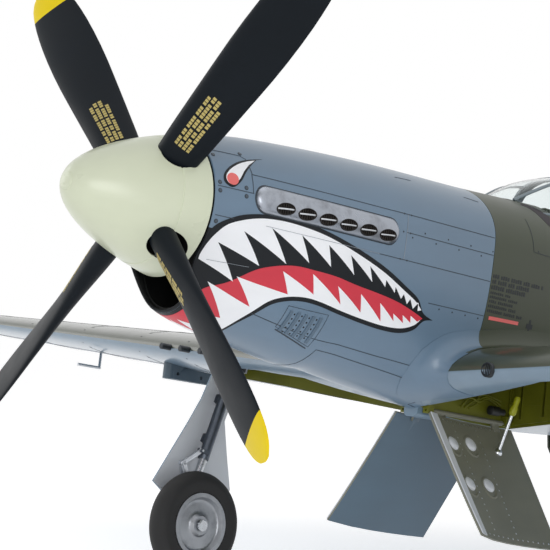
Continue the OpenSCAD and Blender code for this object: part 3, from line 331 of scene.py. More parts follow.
def add_node(tree, kind, inputs=None, **settings):
    node = tree.nodes.new(kind)
    for key, value in settings.items():
        setattr(node, key, value)
    return fill(tree, node, inputs or {})


def math_node(tree, operation, a, b):
    return add_node(tree, "ShaderNodeMath", {0: a, 1: b}, operation=operation).outputs[0]


def mix_node(tree, factor, a, b, blend="MIX"):
    inputs = {0: factor, 6: a, 7: b}
    return add_node(tree, "ShaderNodeMix", inputs, data_type="RGBA", blend_type=blend).outputs[2]


def map_range(tree, value, a, b, c, d):
    inputs = {"Value": value, "From Min": a, "From Max": b, "To Min": c, "To Max": d}
    return add_node(tree, "ShaderNodeMapRange", inputs).outputs[0]


def noise(tree, place, scale, detail, roughness=0.5):
    inputs = {"Vector": place, "Scale": scale, "Detail": detail, "Roughness": roughness}
    return add_node(tree, "ShaderNodeTexNoise", inputs).outputs["Fac"]


def streaks(tree, place, scale, detail):
    """Noise drawn out along the plane."""
    stretch = add_node(tree, "ShaderNodeMapping", {"Vector": place, "Scale": scale}).outputs[0]
    return noise(tree, stretch, 1, detail)


def new_group(name, **inputs):
    """A shading group that gives a colour, a roughness and a height."""
    number, colour = "NodeSocketFloat", "NodeSocketColor"
    group = bpy.data.node_groups.new(name, "ShaderNodeTree")
    for label, value in inputs.items():
        kind = colour if isinstance(value, tuple) else number
        group.interface.new_socket(label, in_out="INPUT", socket_type=kind).default_value = value
    for label, kind in (("Colour", colour), ("Roughness", number), ("Height", number)):
        group.interface.new_socket(label, in_out="OUTPUT", socket_type=kind)
    place = add_node(group, "ShaderNodeTexCoord").outputs["Object"]
    return group, group.nodes.new("NodeGroupInput").outputs, place


GREY, DARK = (0.5, 0.5, 0.5, 1), (0.05, 0.05, 0.05, 1)


def make_paint_group():
    """Sprayed paint: slow drift of the shade, faint streaks along the airflow and a fine orange peel."""
    group, given, place = new_group("Sprayed paint", Colour=GREY, Drift=0.08, Roughness=0.45, Peel=0.5)
    drift = math_node(group, "MULTIPLY", noise(group, place, 14, 4), 0.6)
    streak = math_node(group, "MULTIPLY", streaks(group, place, (60, 5, 60), 3), 0.4)
    both = math_node(group, "ADD", drift, streak)
    low = math_node(group, "SUBTRACT", 1.0, given["Drift"])
    high = math_node(group, "ADD", 1.0, given["Drift"])
    shade = map_range(group, both, 0.35, 0.65, low, high)
    sheen = map_range(group, both, 0.3, 0.7, -0.06, 0.08)
    fill(group, group.nodes.new("NodeGroupOutput"), {
        "Colour": mix_node(group, 1.0, given["Colour"], shade, "MULTIPLY"),
        "Roughness": math_node(group, "ADD", given["Roughness"], sheen),
        "Height": math_node(group, "MULTIPLY", noise(group, place, 1400, 2), given["Peel"])})
    return group


def make_metal_group():
    """Rubbed metal: brush marks along one axis, smears of dirt and a varying sheen."""
    group, given, place = new_group("Rubbed metal", Colour=GREY, Dirt=DARK, Amount=0.3, Roughness=0.35)
    smear = noise(group, place, 60, 6, 0.65)
    mask = map_range(group, smear, 0.5, 0.75, 0.0, 1.0)
    amount = math_node(group, "MULTIPLY", mask, given["Amount"])
    sheen = map_range(group, smear, 0.3, 0.7, -0.1, 0.15)
    fill(group, group.nodes.new("NodeGroupOutput"), {
        "Colour": mix_node(group, amount, given["Colour"], given["Dirt"]),
        "Roughness": math_node(group, "ADD", given["Roughness"], sheen),
        "Height": streaks(group, place, (900, 60, 900), 2)})
    return group


PAINT = make_paint_group()
METAL = make_metal_group()


def new_material(name):
    material = bpy.data.materials.new(name)
    material.use_nodes = True
    tree = material.node_tree
    return material, tree, tree.nodes["Principled BSDF"]


def group_material(name, group, values, bump_mm, extra):
    material, tree, shader = new_material(name)
    look = add_node(tree, "ShaderNodeGroup", values, node_tree=group).outputs
    bump = {"Height": look["Height"], "Distance": bump_mm / 1000, "Strength": 1.0}
    fill(tree, shader, {"Base Color": look["Colour"], "Roughness": look["Roughness"],
                        "Normal": add_node(tree, "ShaderNodeBump", bump).outputs[0], **extra})
    return material


def paint(name, code, roughness, drift, peel=0.5, coat=0.0, shine=0.5):
    values = {"Colour": srgb(code), "Drift": drift, "Roughness": roughness, "Peel": peel}
    extra = {"Coat Weight": coat, "Coat Roughness": 0.2, "Specular IOR Level": shine}
    return group_material(name, PAINT, values, 0.02, extra)


def metal(name, code, roughness, dirt, amount):
    values = {"Colour": srgb(code), "Dirt": srgb(dirt), "Amount": amount, "Roughness": roughness}
    return group_material(name, METAL, values, 0.015, {"Metallic": 1.0})


def two_tone(name, top, under, edge, roughness, coat):
    """Paint that changes along the line where the skin starts to face down."""
    material = paint(name, top, roughness, 0.1, coat=coat)
    tree = material.node_tree
    node = next(n for n in tree.nodes if n.bl_idname == "ShaderNodeGroup")
    facing = {0: add_node(tree, "ShaderNodeTexCoord").outputs["Normal"], 1: BODY_UP}
    up = add_node(tree, "ShaderNodeVectorMath", facing, operation="DOT_PRODUCT").outputs["Value"]
    mask = map_range(tree, up, edge - 0.03, edge + 0.03, 0.0, 1.0)
    fill(tree, node, {"Colour": mix_node(tree, mask, srgb(under), srgb(top))})
    return material


def glass(name, code, roughness=0.02):
    material, tree, shader = new_material(name)
    fill(tree, shader, {"Base Color": srgb(code), "Roughness": roughness, "IOR": 1.15,
                        "Transmission Weight": 1.0})
    return material


NOSE = "637b91"
OLIVE = "373e2d"
UNDER = "71889b"
M = {
    "nose": paint("nose paint", NOSE, 0.4, 0.05, coat=0.45),
    "olive": two_tone("fuselage paint", OLIVE, UNDER, -0.62, 0.46, 0.15),
    "wing": two_tone("wing paint", OLIVE, UNDER, -0.02, 0.4, 0.9),
    "fin": paint("fin paint", OLIVE, 0.46, 0.1, coat=0.15),
    "spinner": paint("spinner paint", "d2d8bf", 0.3, 0.03, coat=0.2),
    "blade": paint("blade black", "10161c", 0.46, 0.12, shine=0.12),
    "yellow": paint("tip yellow", "ecd000", 0.4, 0.05, shine=0.2),
    "gold": paint("marking gold", "b9a863", 0.45, 0.1),
    "white": paint("mouth white", "f5f7fb", 0.4, 0.03),
    "red": paint("mouth red", "d03445", 0.4, 0.06),
    "black": paint("mouth black", "14181d", 0.42, 0.06, shine=0.25),
    "salmon": paint("marking red", "e6706e", 0.45, 0.05),
    "line": paint("panel line", "2b333b", 0.6, 0.1),
    "stud": paint("fastener paint", "414c57", 0.4, 0.1),
    "shroud": metal("shroud metal", "a2a7b0", 0.3, "5f5d5f", 0.5),
    "stack": metal("stack iron", "3b3836", 0.55, "15110f", 0.5),
    "steel": metal("bright steel", "c2c5c9", 0.22, "5a5855", 0.25),
    "leg": metal("leg metal", "9b9ea3", 0.38, "3c3b39", 0.3),
    "gun": metal("gun metal", "45484c", 0.4, "1d1c1b", 0.4),
    "primer": paint("primer yellow green", "686b12", 0.5, 0.2),
    "sleeve": paint("bright yellow green", "a8ac1c", 0.45, 0.1),
    "door": paint("door inner face", "77786b", 0.42, 0.12),
    "under": paint("underside paint", UNDER, 0.42, 0.08),
    "silver": metal("bare aluminium", "dcdfe4", 0.3, "a2a4a8", 0.15),
    # Pale silver: partly the real silver finish, partly a painted reflection in place of shiny metal.
    "bright": paint("pale silver paint with painted reflection", "d5d9df", 0.35, 0.05, shine=0.6),
    # The inner doors' outer face: the underside paint darkened, as painted shade.
    "bay_door": paint("door outer face painted shade", "4b6273", 0.4, 0.06, coat=0.3),
    "strut": metal("dark strut metal", "5c626b", 0.38, "23262a", 0.3),
    "seam": paint("seam grey", "8b929b", 0.5, 0.1),
    "stencil": paint("stencil dark", "1c2126", 0.5, 0.1),
    "slate": paint("slate paint", "4a5a66", 0.45, 0.08),
    "rubber": paint("tyre rubber", "1d1d1e", 0.75, 0.15, peel=1.0),
    "cockpit": paint("cockpit green", "3c4538", 0.6, 0.12),
    "coaming": paint("coaming dark", "332e33", 0.7, 0.12),
    "frame": paint("frame grey", "7f8b92", 0.42, 0.06),
    "dark": paint("dark plastic", "17191b", 0.5, 0.1),
    "wood": paint("plywood", "b08a58", 0.7, 0.15),
    "wrap": paint("battery wrap", "2f5fa8", 0.35, 0.05),
    # Near-black for openings, ducts and the inside of the nose: painted shade.
    "hole": paint("opening painted shade", "08090a", 0.6, 0.05),
    "carbon": paint("spar tube", "161718", 0.3, 0.1),
    # Darker than the nose paint: painted shade for the vent ribs.
    "louvre": paint("louvre painted shade", "54687a", 0.45, 0.08),
    "glass": glass("clear glazing", "f4f8f8"),
    "lens_red": glass("port lens", "d01818", 0.08),
    "lens_green": glass("starboard lens", "10a040", 0.08),
}

# Fuselage: station, half width, height of the widest line, top, bottom, upper and lower roundness
FUSELAGE = [
    [2, 57, 0, 57, -57, 2, 2], [25, 59.5, 2, 61.5, -66, 2, 2], [55, 62, 5, 66, -82, 2, 2],
    [105, 64.5, 10, 70.3, -97, 2, 2.1], [160, 66, 15, 73.6, -105, 2, 2.2],
    [215, 67, 20, 75.6, -112, 2, 2.2], [300, 67.7, 24, 77.2, -121, 2, 2.2],
    [375, 68, 24, 80.4, -123, 2, 2.2], [450, 68, 23, 83.5, -123, 2, 2.2],
    [600, 66.5, 18, 84.6, -121, 2, 2.2], [700, 62, 14, 83, -116, 2, 2.2],
    [800, 56, 11, 78, -106, 2, 2.1], [900, 48, 9, 72, -92, 2, 2], [1000, 39, 9, 65, -73, 2, 2],
    [1100, 29, 10, 58, -49, 2, 2], [1212, 15, 14, 48, -16, 2, 2]]
# Chin intake: station, height of its centre, half width, half height
CHIN = [[2, -40, 36, 40], [25, -41, 40, 46], [55, -43, 44, 50], [105, -45, 47, 52.5],
        [150, -47, 46, 52], [200, -40, 30, 30], [1212, 10, 3, 3]]
CHIN_END = 190
CHIN_BLEND = 14
COWL_END = 305
TAIL_POST = 1212
FIRST_Y = 3
SKIN = 2.4


def lut(table, column, y):
    """A smooth curve through one column of a table of stations."""
    last = len(table) - 1
    k = max(i for i in range(last) if i == 0 or table[i][0] <= y)

    def slope(i):
        a, b = table[max(i - 1, 0)], table[min(i + 1, last)]
        return (b[column] - a[column]) / (b[0] - a[0])

    p, q = table[k], table[k + 1]
    d = q[0] - p[0]
    u = (y - p[0]) / d
    return (p[column] * (2 * u ** 3 - 3 * u ** 2 + 1) + slope(k) * d * (u ** 3 - 2 * u ** 2 + u)
            + q[column] * (3 * u ** 2 - 2 * u ** 3) + slope(k + 1) * d * (u ** 3 - u ** 2))


SECTIONS = {}


def section(y):
    if y not in SECTIONS:
        SECTIONS[y] = ([lut(FUSELAGE, c, y) for c in range(1, 7)], [lut(CHIN, c, y) for c in range(1, 4)])
    return SECTIONS[y]


def skin_point(y, angle, grow=0.0):
    """A point on the fuselage: angle in degrees from the keel, positive to port."""
    (w, z0, top, bottom, n_up, n_low), (zc, a, b) = section(y)
    c, s = math.sin(math.radians(angle)), -math.cos(math.radians(angle))
    h, n = (top - z0, n_up) if s > 0 else (z0 - bottom, n_low)
    egg = (abs(c / w) ** n + abs(s / h) ** n) ** (-1 / n)
    chin = 0.0
    if y <= CHIN_END and s < 0:
        d = zc - z0
        qa, qb, qc = (c / a) ** 2 + (s / b) ** 2, s * d / b ** 2, (d / b) ** 2 - 1
        root = qb ** 2 - qa * qc
        chin = (qb + math.sqrt(root)) / qa if root > 0 else 0.0
    r = max(egg, chin) + max(CHIN_BLEND - abs(egg - chin), 0) ** 2 / (4 * CHIN_BLEND) + grow
    return Vector((r * c, y, z0 + r * s))


def skin_axes(y, angle):
    """Point, direction aft, direction round and outward normal on the fuselage skin."""
    y = min(max(y, FIRST_Y), TAIL_POST - 1)
    p = skin_point(y, angle)
    aft = (skin_point(y + 0.5, angle) - skin_point(y - 0.5, angle)).normalized()
    rise = (skin_point(y, angle + 0.5) - skin_point(y, angle - 0.5)).normalized()
    out = aft.cross(rise).normalized()
    return p, aft, rise, out


def on_skin(y, angle, lift):
    p, aft, rise, out = skin_axes(y, angle)
    return p + out * lift


def skin_angle(y, z):
    """The angle on the port side where the skin has height z."""
    low, high = 0.0, 180.0
    for _ in range(40):
        middle = (low + high) / 2
        if skin_point(y, middle).z < z:
            low = middle
        else:
            high = middle
    return low


ROUND = 144
ANGLES = [360 * k / ROUND for k in range(ROUND)]


def skin_ring(y, grow=0.0):
    return [skin_point(y, a, grow) for a in ANGLES]


# Wing, drawn for the port side; the slopes are tangents
HALF = 850
SWEEP, DIHEDRAL, WING_PITCH = (math.tan(math.radians(a)) for a in (3.58, 5, 1))
KINK_X, KINK_Y, KINK_FORWARD = 234, 306, 40
TIP_CHORD, TIP_LEN, TIP_FRONT, TIP_REAR = 191, 44, 0.26, 0.22
ROOT_X, TE_ROOT, WING_Z = 62, 689, -97
ROOT_THICK, TIP_THICK, TE_HALF, CAMBER = 0.15, 0.115, 0.5, 0.06
SIDES = ((1, "port"), (-1, "starboard"))


def le_line(x):
    return KINK_Y + (x - KINK_X) * SWEEP - max(0, KINK_X - x) * KINK_FORWARD / KINK_X


def te_line(x):
    return mix(TE_ROOT, le_line(HALF) + TIP_CHORD, x / HALF)


def tip_k(x):
    """One, falling off in a quarter round at the wing tip."""
    return 1 if x < HALF - TIP_LEN else math.sqrt(max(0.01, 1 - ((x - HALF + TIP_LEN) / TIP_LEN) ** 2))


def le_y(x):
    return le_line(x) + TIP_FRONT * TIP_CHORD * (1 - tip_k(x))


def te_y(x):
    return te_line(x) - TIP_REAR * TIP_CHORD * (1 - tip_k(x))


def chord(x):
    return te_y(x) - le_y(x)


def mid_z(x, f):
    return WING_Z + x * DIHEDRAL + chord(x) * (CAMBER * f * (1 - f) - f * WING_PITCH)


def foil(f):
    return 5 * (0.2969 * math.sqrt(f) - 0.126 * f - 0.3516 * f ** 2 + 0.2843 * f ** 3 - 0.1036 * f ** 4)


def half_t(x, f):
    return chord(x) * mix(ROOT_THICK, TIP_THICK, x / HALF) * foil(f) * tip_k(x) + TE_HALF * f


def wing_point(x, f, face, lift=0.0):
    """A point of the wing at chord fraction f; face 1 is the top, -1 the underside."""
    return Vector((x, le_y(x) + f * chord(x), mid_z(x, f) + face * (half_t(x, f) + lift)))


def frac(x, y):
    return max(0, min(1, (y - le_y(x)) / chord(x)))


def top_z(x, y):
    return mid_z(x, frac(x, y)) + half_t(x, frac(x, y))


def low_z(x, y):
    return mid_z(x, frac(x, y)) - half_t(x, frac(x, y))


FOIL_N = 28
FOIL_F = [(1 - math.cos(math.pi * k / FOIL_N)) / 2 for k in range(FOIL_N + 1)]


def wing_ring(x):
    return [wing_point(x, f, 1) for f in FOIL_F] + [wing_point(x, f, -1) for f in FOIL_F[:0:-1]]


# Flap and aileron: their spans, the chord behind the hinge at root and tip, and the room round them
FLAP_X = (72, 372)
AILERON_X = (408, 763)
HINGE_CHORD = (86, 46)
END_GAP = 0.8
HINGE_GAP = 1.2
COVE_TURNS = [math.radians(107 + 14.6 * k) for k in range(11)]
COVE_TALL, COVE_AFT, NOSE_INSET = 40, 30, 0.3


def hinge_y(x):
    return te_line(x) - mix(*HINGE_CHORD, x / HALF)


def hinge_mean(x, sign):
    """Half the sum (1) or half the difference (-1) of the skin heights over the hinge."""
    return (top_z(x, hinge_y(x)) + sign * low_z(x, hinge_y(x))) / 2


def along_hinge(sign, x):
    a, b = FLAP_X[0], AILERON_X[1]
    return mix(hinge_mean(a, sign), hinge_mean(b, sign), (x - a) / (b - a))


def hinge_point(x):
    return Vector((x, hinge_y(x), along_hinge(1, x)))


HINGE_X = (hinge_point(500) - hinge_point(100)).normalized()


def off_hinge(x, dy, dz):
    return hinge_point(x) + Vector((-(dy * HINGE_X.y + dz * HINGE_X.z) / HINGE_X.x, dy, dz))


def cove_ring(x, open_below):
    """The room for a flap or aileron: round at the hinge, and straight down where it is open below."""
    r = along_hinge(-1, x) - NOSE_INSET + HINGE_GAP
    aft = te_line(x) + COVE_AFT - hinge_y(x)
    arc = [(r * math.cos(a), r * math.sin(a)) for a in COVE_TURNS]
    if open_below:
        arc = arc[:6] + [(-r, z) for y, z in arc[6:]]
    front = [(arc[0][0], COVE_TALL)] + arc + [(arc[-1][0], -COVE_TALL)]
    return [off_hinge(x, y, z) for y, z in front + [(aft, -COVE_TALL), (aft, COVE_TALL)]]


# Wheel bay: outboard of the wheel, where only the leg lies, its back wall steps forward
LEG_X = 291.5
BAY_X = (10, LEG_X + 20)
BAY_FRONT, BAY_BACK, BAY_BACK_OUT = 292, 410, 368
BAY_STEP_X, BAY_STEP_LEN = 185, 55
BAY_SKIN = 2.5


def bay_y0(x):
    return max(BAY_FRONT + 1, le_y(x) + 9)


def bay_y1(x):
    return mix(BAY_BACK, BAY_BACK_OUT, max(0, min(1, (x - BAY_STEP_X) / BAY_STEP_LEN)))


def bay_ring(x, bottom):
    a, b = bay_y0(x), bay_y1(x)
    roof = [Vector((x, y, top_z(x, y) - BAY_SKIN)) for y in evenly(a, b, 5)]
    return roof + [Vector((x, b, bottom)), Vector((x, a, bottom))]


def sided(rings, side):
    """Rings drawn for port, mirrored where the side is -1."""
    return [[Vector((side * p.x, p.y, p.z)) for p in ring] for ring in rings]


def hoop(radius, y, n=32, x=0.0, z=0.0):
    """A ring of n points about a line that runs fore and aft."""
    return [Vector((x + radius * math.cos(t), y, z + radius * math.sin(t))) for t in full_turn(n)]


# Nose and fuselage skins
SADDLE_LOW = -150
LIP_SETBACK = 7
DUCT_TOP, WALL_LOW = -43, -45
WALL_INSET, SHAFT_HOLE_R = 5.2, 27


def wing_saddle():
    """The room that the wing takes out of the fuselage, open below."""
    rings = []
    for x in (-80, -ROOT_X, -30, 0, 30, ROOT_X, 80):
        a = abs(x)
        outline = [(le_y(a) + f * chord(a), mid_z(a, f) + half_t(a, f) * 0.9) for f in FOIL_F]
        outline += [(te_y(a), SADDLE_LOW), (BAY_FRONT, SADDLE_LOW), (BAY_FRONT, mid_z(a, 0.1))]
        rings.append([Vector((x, y, z)) for y, z in outline])
    return loft("saddle", rings)


def keel_angle(p, height=0.0):
    """Degrees from the keel of a point seen along the fuselage."""
    return math.degrees(math.atan2(abs(p.x), height - p.z))


def lip_y(angle):
    """How far the cowl's front edge sits back below the spinner."""
    return LIP_SETBACK * ease((46 - abs((angle + 180) % 360 - 180)) / 30)


def cowl_ring(y, grow):
    ring = []
    for a in ANGLES:
        back = y + lip_y(a) * max(0, 1 - y / 60)
        p = skin_point(max(back, FIRST_Y), a, grow)
        ring.append(Vector((p.x, back, p.z)))
    return ring


def make_cowl():
    lip = [(14, -4.8), (8, -4.4), (3.4, -3.4), (1.6, -2.1), (1.0, -1.0), (1.5, -0.2), (2.8, 0)]
    outer = [5, 8, 12, 17, 23] + list(range(30, 300, 6)) + [302, COWL_END - 0.3]
    inner = [COWL_END - 0.3, 240, 180, 120, 60, 30]
    profile = lip + [(y, 0) for y in outer] + [(y, -SKIN) for y in inner]
    rings = [cowl_ring(y, grow) for y, grow in profile]
    obj = loft("nose_cowl", rings + [rings[0]], caps=False)
    face_out(obj)
    cut(obj, wing_saddle())
    dress(smooth(obj), "nose", "nose_paint", "cowl")

    def is_lip(p, n):
        angle = keel_angle(p)
        return angle < 52 and p.y < lip_y(angle) + 3.4 or angle < 70 and p.y < 5

    def is_inside(p, n):
        y = max(p.y, FIRST_Y)
        skin = skin_point(y, keel_angle(p, section(y)[0][1]))
        return (skin - Vector((abs(p.x), y, p.z))).length > 1.7 and p.y > 2.2

    paint_faces(obj, "black", is_lip)
    # Faces inside the cowl are near-black: painted shade of the dark interior.
    paint_faces(obj, "hole", is_inside)


def make_intake():
    """The wall behind the spinner and the duct behind the chin lip, both near-black as painted shade of
    the dark inside of the nose.
    """
    def upper(y):
        return [Vector((p.x, y, max(p.z, WALL_LOW))) for p in cowl_ring(y, -WALL_INSET)]

    def lower(y, grow):
        points = cowl_ring(y, grow)
        wide = max(abs(p.x) for p in points if p.z < DUCT_TOP)
        return [Vector((max(-wide, min(wide, p.x)), y, min(p.z, DUCT_TOP))) for p in points]

    wall = loft("cowl_front_wall", [upper(12), upper(13.6)])
    cut(wall, loft("shaft_hole", [hoop(SHAFT_HOLE_R, 5), hoop(SHAFT_HOLE_R, 25)]))
    dress(smooth(wall), "hole", "dark_plastic")
    rings = [lower(y, -5.6) for y in (56, 40, 25, 12)] + [lower(y, -7) for y in (12, 25, 40, 54)]
    dress(loft("chin_duct", rings), "hole", "dark_plastic")


def well(x, y0, y1, z0, z1):
    """A plain box for cutting, on both sides of the middle."""
    return loft("well", [[(-x, y, z0), (x, y, z0), (x, y, z1), (-x, y, z1)] for y in (y0, y1)])


def make_fuselage():
    ys = [COWL_END + 0.3] + list(range(315, 1210, 12)) + [TAIL_POST]
    inner = list(range(1200, 300, -100)) + [COWL_END + 0.3]
    rings = [skin_ring(y) for y in ys] + [skin_ring(y, -SKIN) for y in inner]
    obj = loft("fuselage_skin", rings + [rings[0]], caps=False)
    face_out(obj)
    cut(obj, wing_saddle(), well(46, 404, 676, 12, 120), well(15, 1070, 1144, -90, -28))
    dress(smooth(obj), "olive", "olive_paint", "fuselage")


def make_wing(side, node):
    tip = [HALF - TIP_LEN * (1 - math.sin(math.radians(a))) for a in range(0, 85, 7)]
    xs = [0.05, 30, ROOT_X, 90, 120, 150, 180, 210, KINK_X] + list(range(262, 800, 28)) + tip + [HALF]
    obj = loft(node + "_skin", sided([wing_ring(x) for x in xs], side))
    bay_xs = (BAY_X[1], BAY_STEP_X + BAY_STEP_LEN, BAY_STEP_X, 140, ROOT_X, BAY_X[0])
    cutters = [loft("bay", sided([bay_ring(x, -180) for x in bay_xs], side))]
    for (x0, x1), open_below in ((FLAP_X, True), (AILERON_X, False)):
        ends = [cove_ring(x, open_below) for x in (x0 - END_GAP, x1 + END_GAP)]
        cutters.append(loft("cove", sided(ends, side)))
    cut(obj, *cutters)
    dress(even(obj), "wing", "olive_paint", node)

    def in_bay(p, n):
        x = abs(p.x)
        room = BAY_X[0] - 1 < x < BAY_X[1] + 1 and bay_y0(x) - 1 < p.y < bay_y1(x) + 1
        return room and low_z(x, p.y) + 0.6 < p.z < top_z(x, p.y) - 1

    paint_faces(obj, "primer", in_bay)


# Spinner and propeller
SPIN_R, SPIN_LEN, SPIN_SEAM = 56, 97, 24
BLADE_Y = -22.5
PROP_REST = math.radians(42)
CUFF_LONG, CUFF_WIDE, CUFF_SHIFT = 15.6, 14, 1.6
# Blade: radius, chord, twist, thickness
BLADE = [
    [27, 30, 41, 21], [60, 35.5, 37.5, 19], [85, 38.5, 35, 16], [110, 41.5, 32, 12.5],
    [160, 46.5, 27.5, 8], [205, 45, 23.5, 5], [238, 36, 21, 3.4], [251, 23, 20.5, 2.2],
    [256, 8, 20, 1.6]]
YELLOW_FROM = 229


def spin_radius(s):
    return SPIN_R * math.sqrt(max(0, 1 - (s / SPIN_LEN) ** 1.1))


def about_shaft(p, k):
    """Turns a point on a blade that points to port onto blade k."""
    a = PROP_REST + math.pi / 2 * k
    c, s = math.cos(a), math.sin(a)
    return Vector((p[0] * c - p[2] * s, p[1] + BLADE_Y, p[0] * s + p[2] * c))


def blade_point(r, turn, grow=0.0):
    c = lut(BLADE, 1, r) / 2 + grow
    t = lut(BLADE, 3, r) / 2 + grow
    b = math.radians(lut(BLADE, 2, r))
    u, v = c * math.cos(turn), t * math.sin(turn) * (1 + 0.25 * math.cos(turn))
    return Vector((r, -u * math.sin(b) - v * math.cos(b), u * math.cos(b) - v * math.sin(b)))


def make_spinner():
    groove = [SPIN_SEAM - 0.9, SPIN_SEAM - 0.5, SPIN_SEAM + 0.5, SPIN_SEAM + 0.9]
    tip = [86, 90, 93, 95, 96.2, 96.8]
    rings = []
    for s in [0, 0.6, 4, 10, 16, 20] + groove + list(range(28, 84, 4)) + tip:
        dent = 0.5 if s in groove[1:3] else 0.8 if s == 0 else 0.0
        rings.append(hoop(spin_radius(s) - dent, -s, 96))
    obj = loft("spinner_shell", rings)
    oval = [(CUFF_LONG * math.cos(t) + CUFF_SHIFT, CUFF_WIDE * math.sin(t)) for t in full_turn(32)]
    for k in range(4):
        cuff = [[about_shaft((r, y, z), k) for y, z in oval] for r in (24, 34, 46, 58, 70)]
        cut(obj, loft("cuff", cuff))
    dress(smooth(obj), "spinner", "spinner_paint", "spinner_cone", "spinner_backplate", body="propeller")

    def in_cuff(p, n):
        return -42 < p.y < -0.9 and math.hypot(p.x, p.z) < spin_radius(-p.y) - 0.9

    # The walls of the blade openings are near-black: painted shade inside the spinner.
    paint_faces(obj, "hole", in_cuff)
    cap = ((95.2, 7.2), (96.1, 7.0), (96.6, 6.2), (96.75, 4.4), (96.7, 3.4), (97.0, 2.6), (97.0, 0.8))
    obj = loft("spinner_tip", [hoop(r, -s, 48) for s, r in cap])
    dress(obj, "spinner", "spinner_paint", body="propeller")


def make_blades():
    rs = [27, 30, 36, 44, 54, 66, 80, 95, 110, 128, 146, 164, 182, 198, 210, 220, YELLOW_FROM, 236, 242,
          247, 250, 252.5, 254.3, 255.3, 256]
    blades = []
    for k in range(4):
        rings = [[about_shaft(blade_point(r, t), k) for t in full_turn(40)] for r in rs]
        blades.append(loft("blade", rings, angle=45))
    obj = join("propeller_blade_set", blades)
    dress(obj, "blade", "blade_black", "propeller_blades", body="propeller")
    paint_faces(obj, "yellow", lambda p, n: math.hypot(p.x, p.z) > YELLOW_FROM)


def split_bars(start, groups, length, gap):
    """A row of short plain bars in groups: pairs of start and end."""
    bars = []
    for count in groups:
        for _ in range(count):
            bars.append((start, start + length))
            start += length + gap
        start += 1.6 * gap + 0.6
    return bars


BAR_DEEP = 0.24


def stamp(name, quads):
    """Thin painted bars, one copied box for each four corners in the plane's axes."""
    clear()
    bpy.ops.mesh.primitive_cube_add(size=1)
    places = []
    for a, b, c, d in quads:
        along, up = ((b - a) + (c - d)) / 2, ((d - a) + (c - b)) / 2
        deep = along.cross(up).normalized() * BAR_DEEP
        places.append(axes_at((a + b + c + d) / 4, along, up, deep) @ Matrix.Scale(0.001, 4))
    return scatter(name, bpy.context.object, places)


BLADE_GROUPS = [(3, 2, 4, 3, 3), (2, 4, 3, 5, 2), (4, 2, 3, 4, 3), (3, 5, 2, 4)]


def make_blade_bars():
    """Plain gold bars near the blade roots."""
    bars = []
    for k in range(4):
        for row, groups in enumerate(BLADE_GROUPS):
            low, high = math.pi * (0.382 + 0.066 * row), math.pi * (0.428 + 0.066 * row)
            for r0, r1 in split_bars(59, groups, 2.1, 0.55):
                corners = ((r0, high), (r1, high), (r1, low), (r0, low))
                bars.append([about_shaft(blade_point(r, t, 0.05), k) for r, t in corners])
    dress(stamp("propeller_bars", bars), "gold", "blade_black", body="propeller")


# Painted figures and lines on the skin, in layers that lie just over each other
LAYERS = (0.2, 0.34, 0.48)
LINE_LIFT, BAR_LIFT = 0.1, 0.05
LINE_DEEP, PATCH_DEEP = 0.12, 0.15
WING_LINE_WIDE, WING_LINE_DEEP = 0.64, 0.3
PATCH_STEP = 4


def sheet_on_skin(name, outline, lift, mirror=False):
    """A thin painted patch: its outline is in stations and degrees from the keel."""
    pts = [(p[0], -p[1] if mirror else p[1]) for p in outline]
    area = sum(a[0] * b[1] - b[0] * a[1] for a, b in zip(pts, pts[1:] + pts[:1]))
    pts = pts if area > 0 else pts[::-1]
    clear()
    bpy.ops.mesh.primitive_circle_add(vertices=len(pts), radius=1, fill_type="NGON")
    obj = bpy.context.object
    obj.name = name
    for v, p in zip(obj.data.vertices, pts):
        v.co = (p[0], p[1], 0)
    edit(obj)
    bpy.ops.mesh.quads_convert_to_tris(ngon_method="BEAUTY")
    for axis in (0, 1):
        low, high = min(p[axis] for p in pts), max(p[axis] for p in pts)
        for k in range(math.ceil(low / PATCH_STEP), math.floor(high / PATCH_STEP) + 1):
            bpy.ops.mesh.select_all(action="SELECT")
            plane = [0, 0, 0]
            plane[axis] = 1
            bpy.ops.mesh.bisect(plane_co=[k * PATCH_STEP * n for n in plane], plane_no=plane)
    bpy.ops.object.mode_set(mode="OBJECT")
    flip = obj.data.polygons[0].normal.z < 0
    for v in obj.data.vertices:
        v.co = at(*on_skin(v.co.x, v.co.y, lift))
    if flip:
        obj.data.flip_normals()
    thicken(obj, PATCH_DEEP)
    return smooth(obj, 60)


def both_sides(name, outline, lift, finish, slot):
    for side, tag in SIDES:
        dress(sheet_on_skin(name + "_" + tag, outline, lift, side < 0), finish, slot)


# Shark mouth and eye: stations and degrees from the keel
MOUTH_TOP = [
    (1.4, 48), (1.4, 58), (1.6, 65), (5.5, 72.5), (15, 78.5), (28, 83), (45, 85), (65, 85), (86, 83),
    (108, 79.5), (130, 74.5), (153, 68.5), (179, 61), (205, 52.5), (223, 47), (233, 41), (246, 38.6)]
MOUTH_LOW = [
    (246, 38.6), (236, 37.6), (228, 33.5), (214, 31.3), (194, 31.2), (169, 32.5), (146, 34.2),
    (123, 36.3), (106, 36.8), (91, 35.5), (78, 32), (68, 25.5), (60, 19), (56, 13), (54, 6), (53, 0)]
WHITE_TOP = [
    (3.6, 47), (4.4, 57), (8, 66), (16, 74.5), (30, 79.5), (46, 82), (65, 82), (85, 80), (107, 76.5),
    (128, 71.8), (151, 65.8), (177, 58.6), (203, 50.5), (221, 45.5), (230, 42)]
UPPER_TEETH = [
    (226, 41.5), (224.5, 45), (220, 42), (214.5, 46.2), (212, 43.6), (206, 48), (204, 45.6), (195, 51),
    (195.4, 48), (183, 54), (183.5, 50.3), (162.4, 60.6), (168.3, 52), (140, 65.5), (147.6, 54.3),
    (115.4, 69.9), (122, 56.8), (86.6, 74), (99.4, 57.2), (56.4, 76.3), (78, 54.4), (31.5, 71.5),
    (54.5, 50.2), (12.8, 60.3), (38, 37.4), (4, 44)]
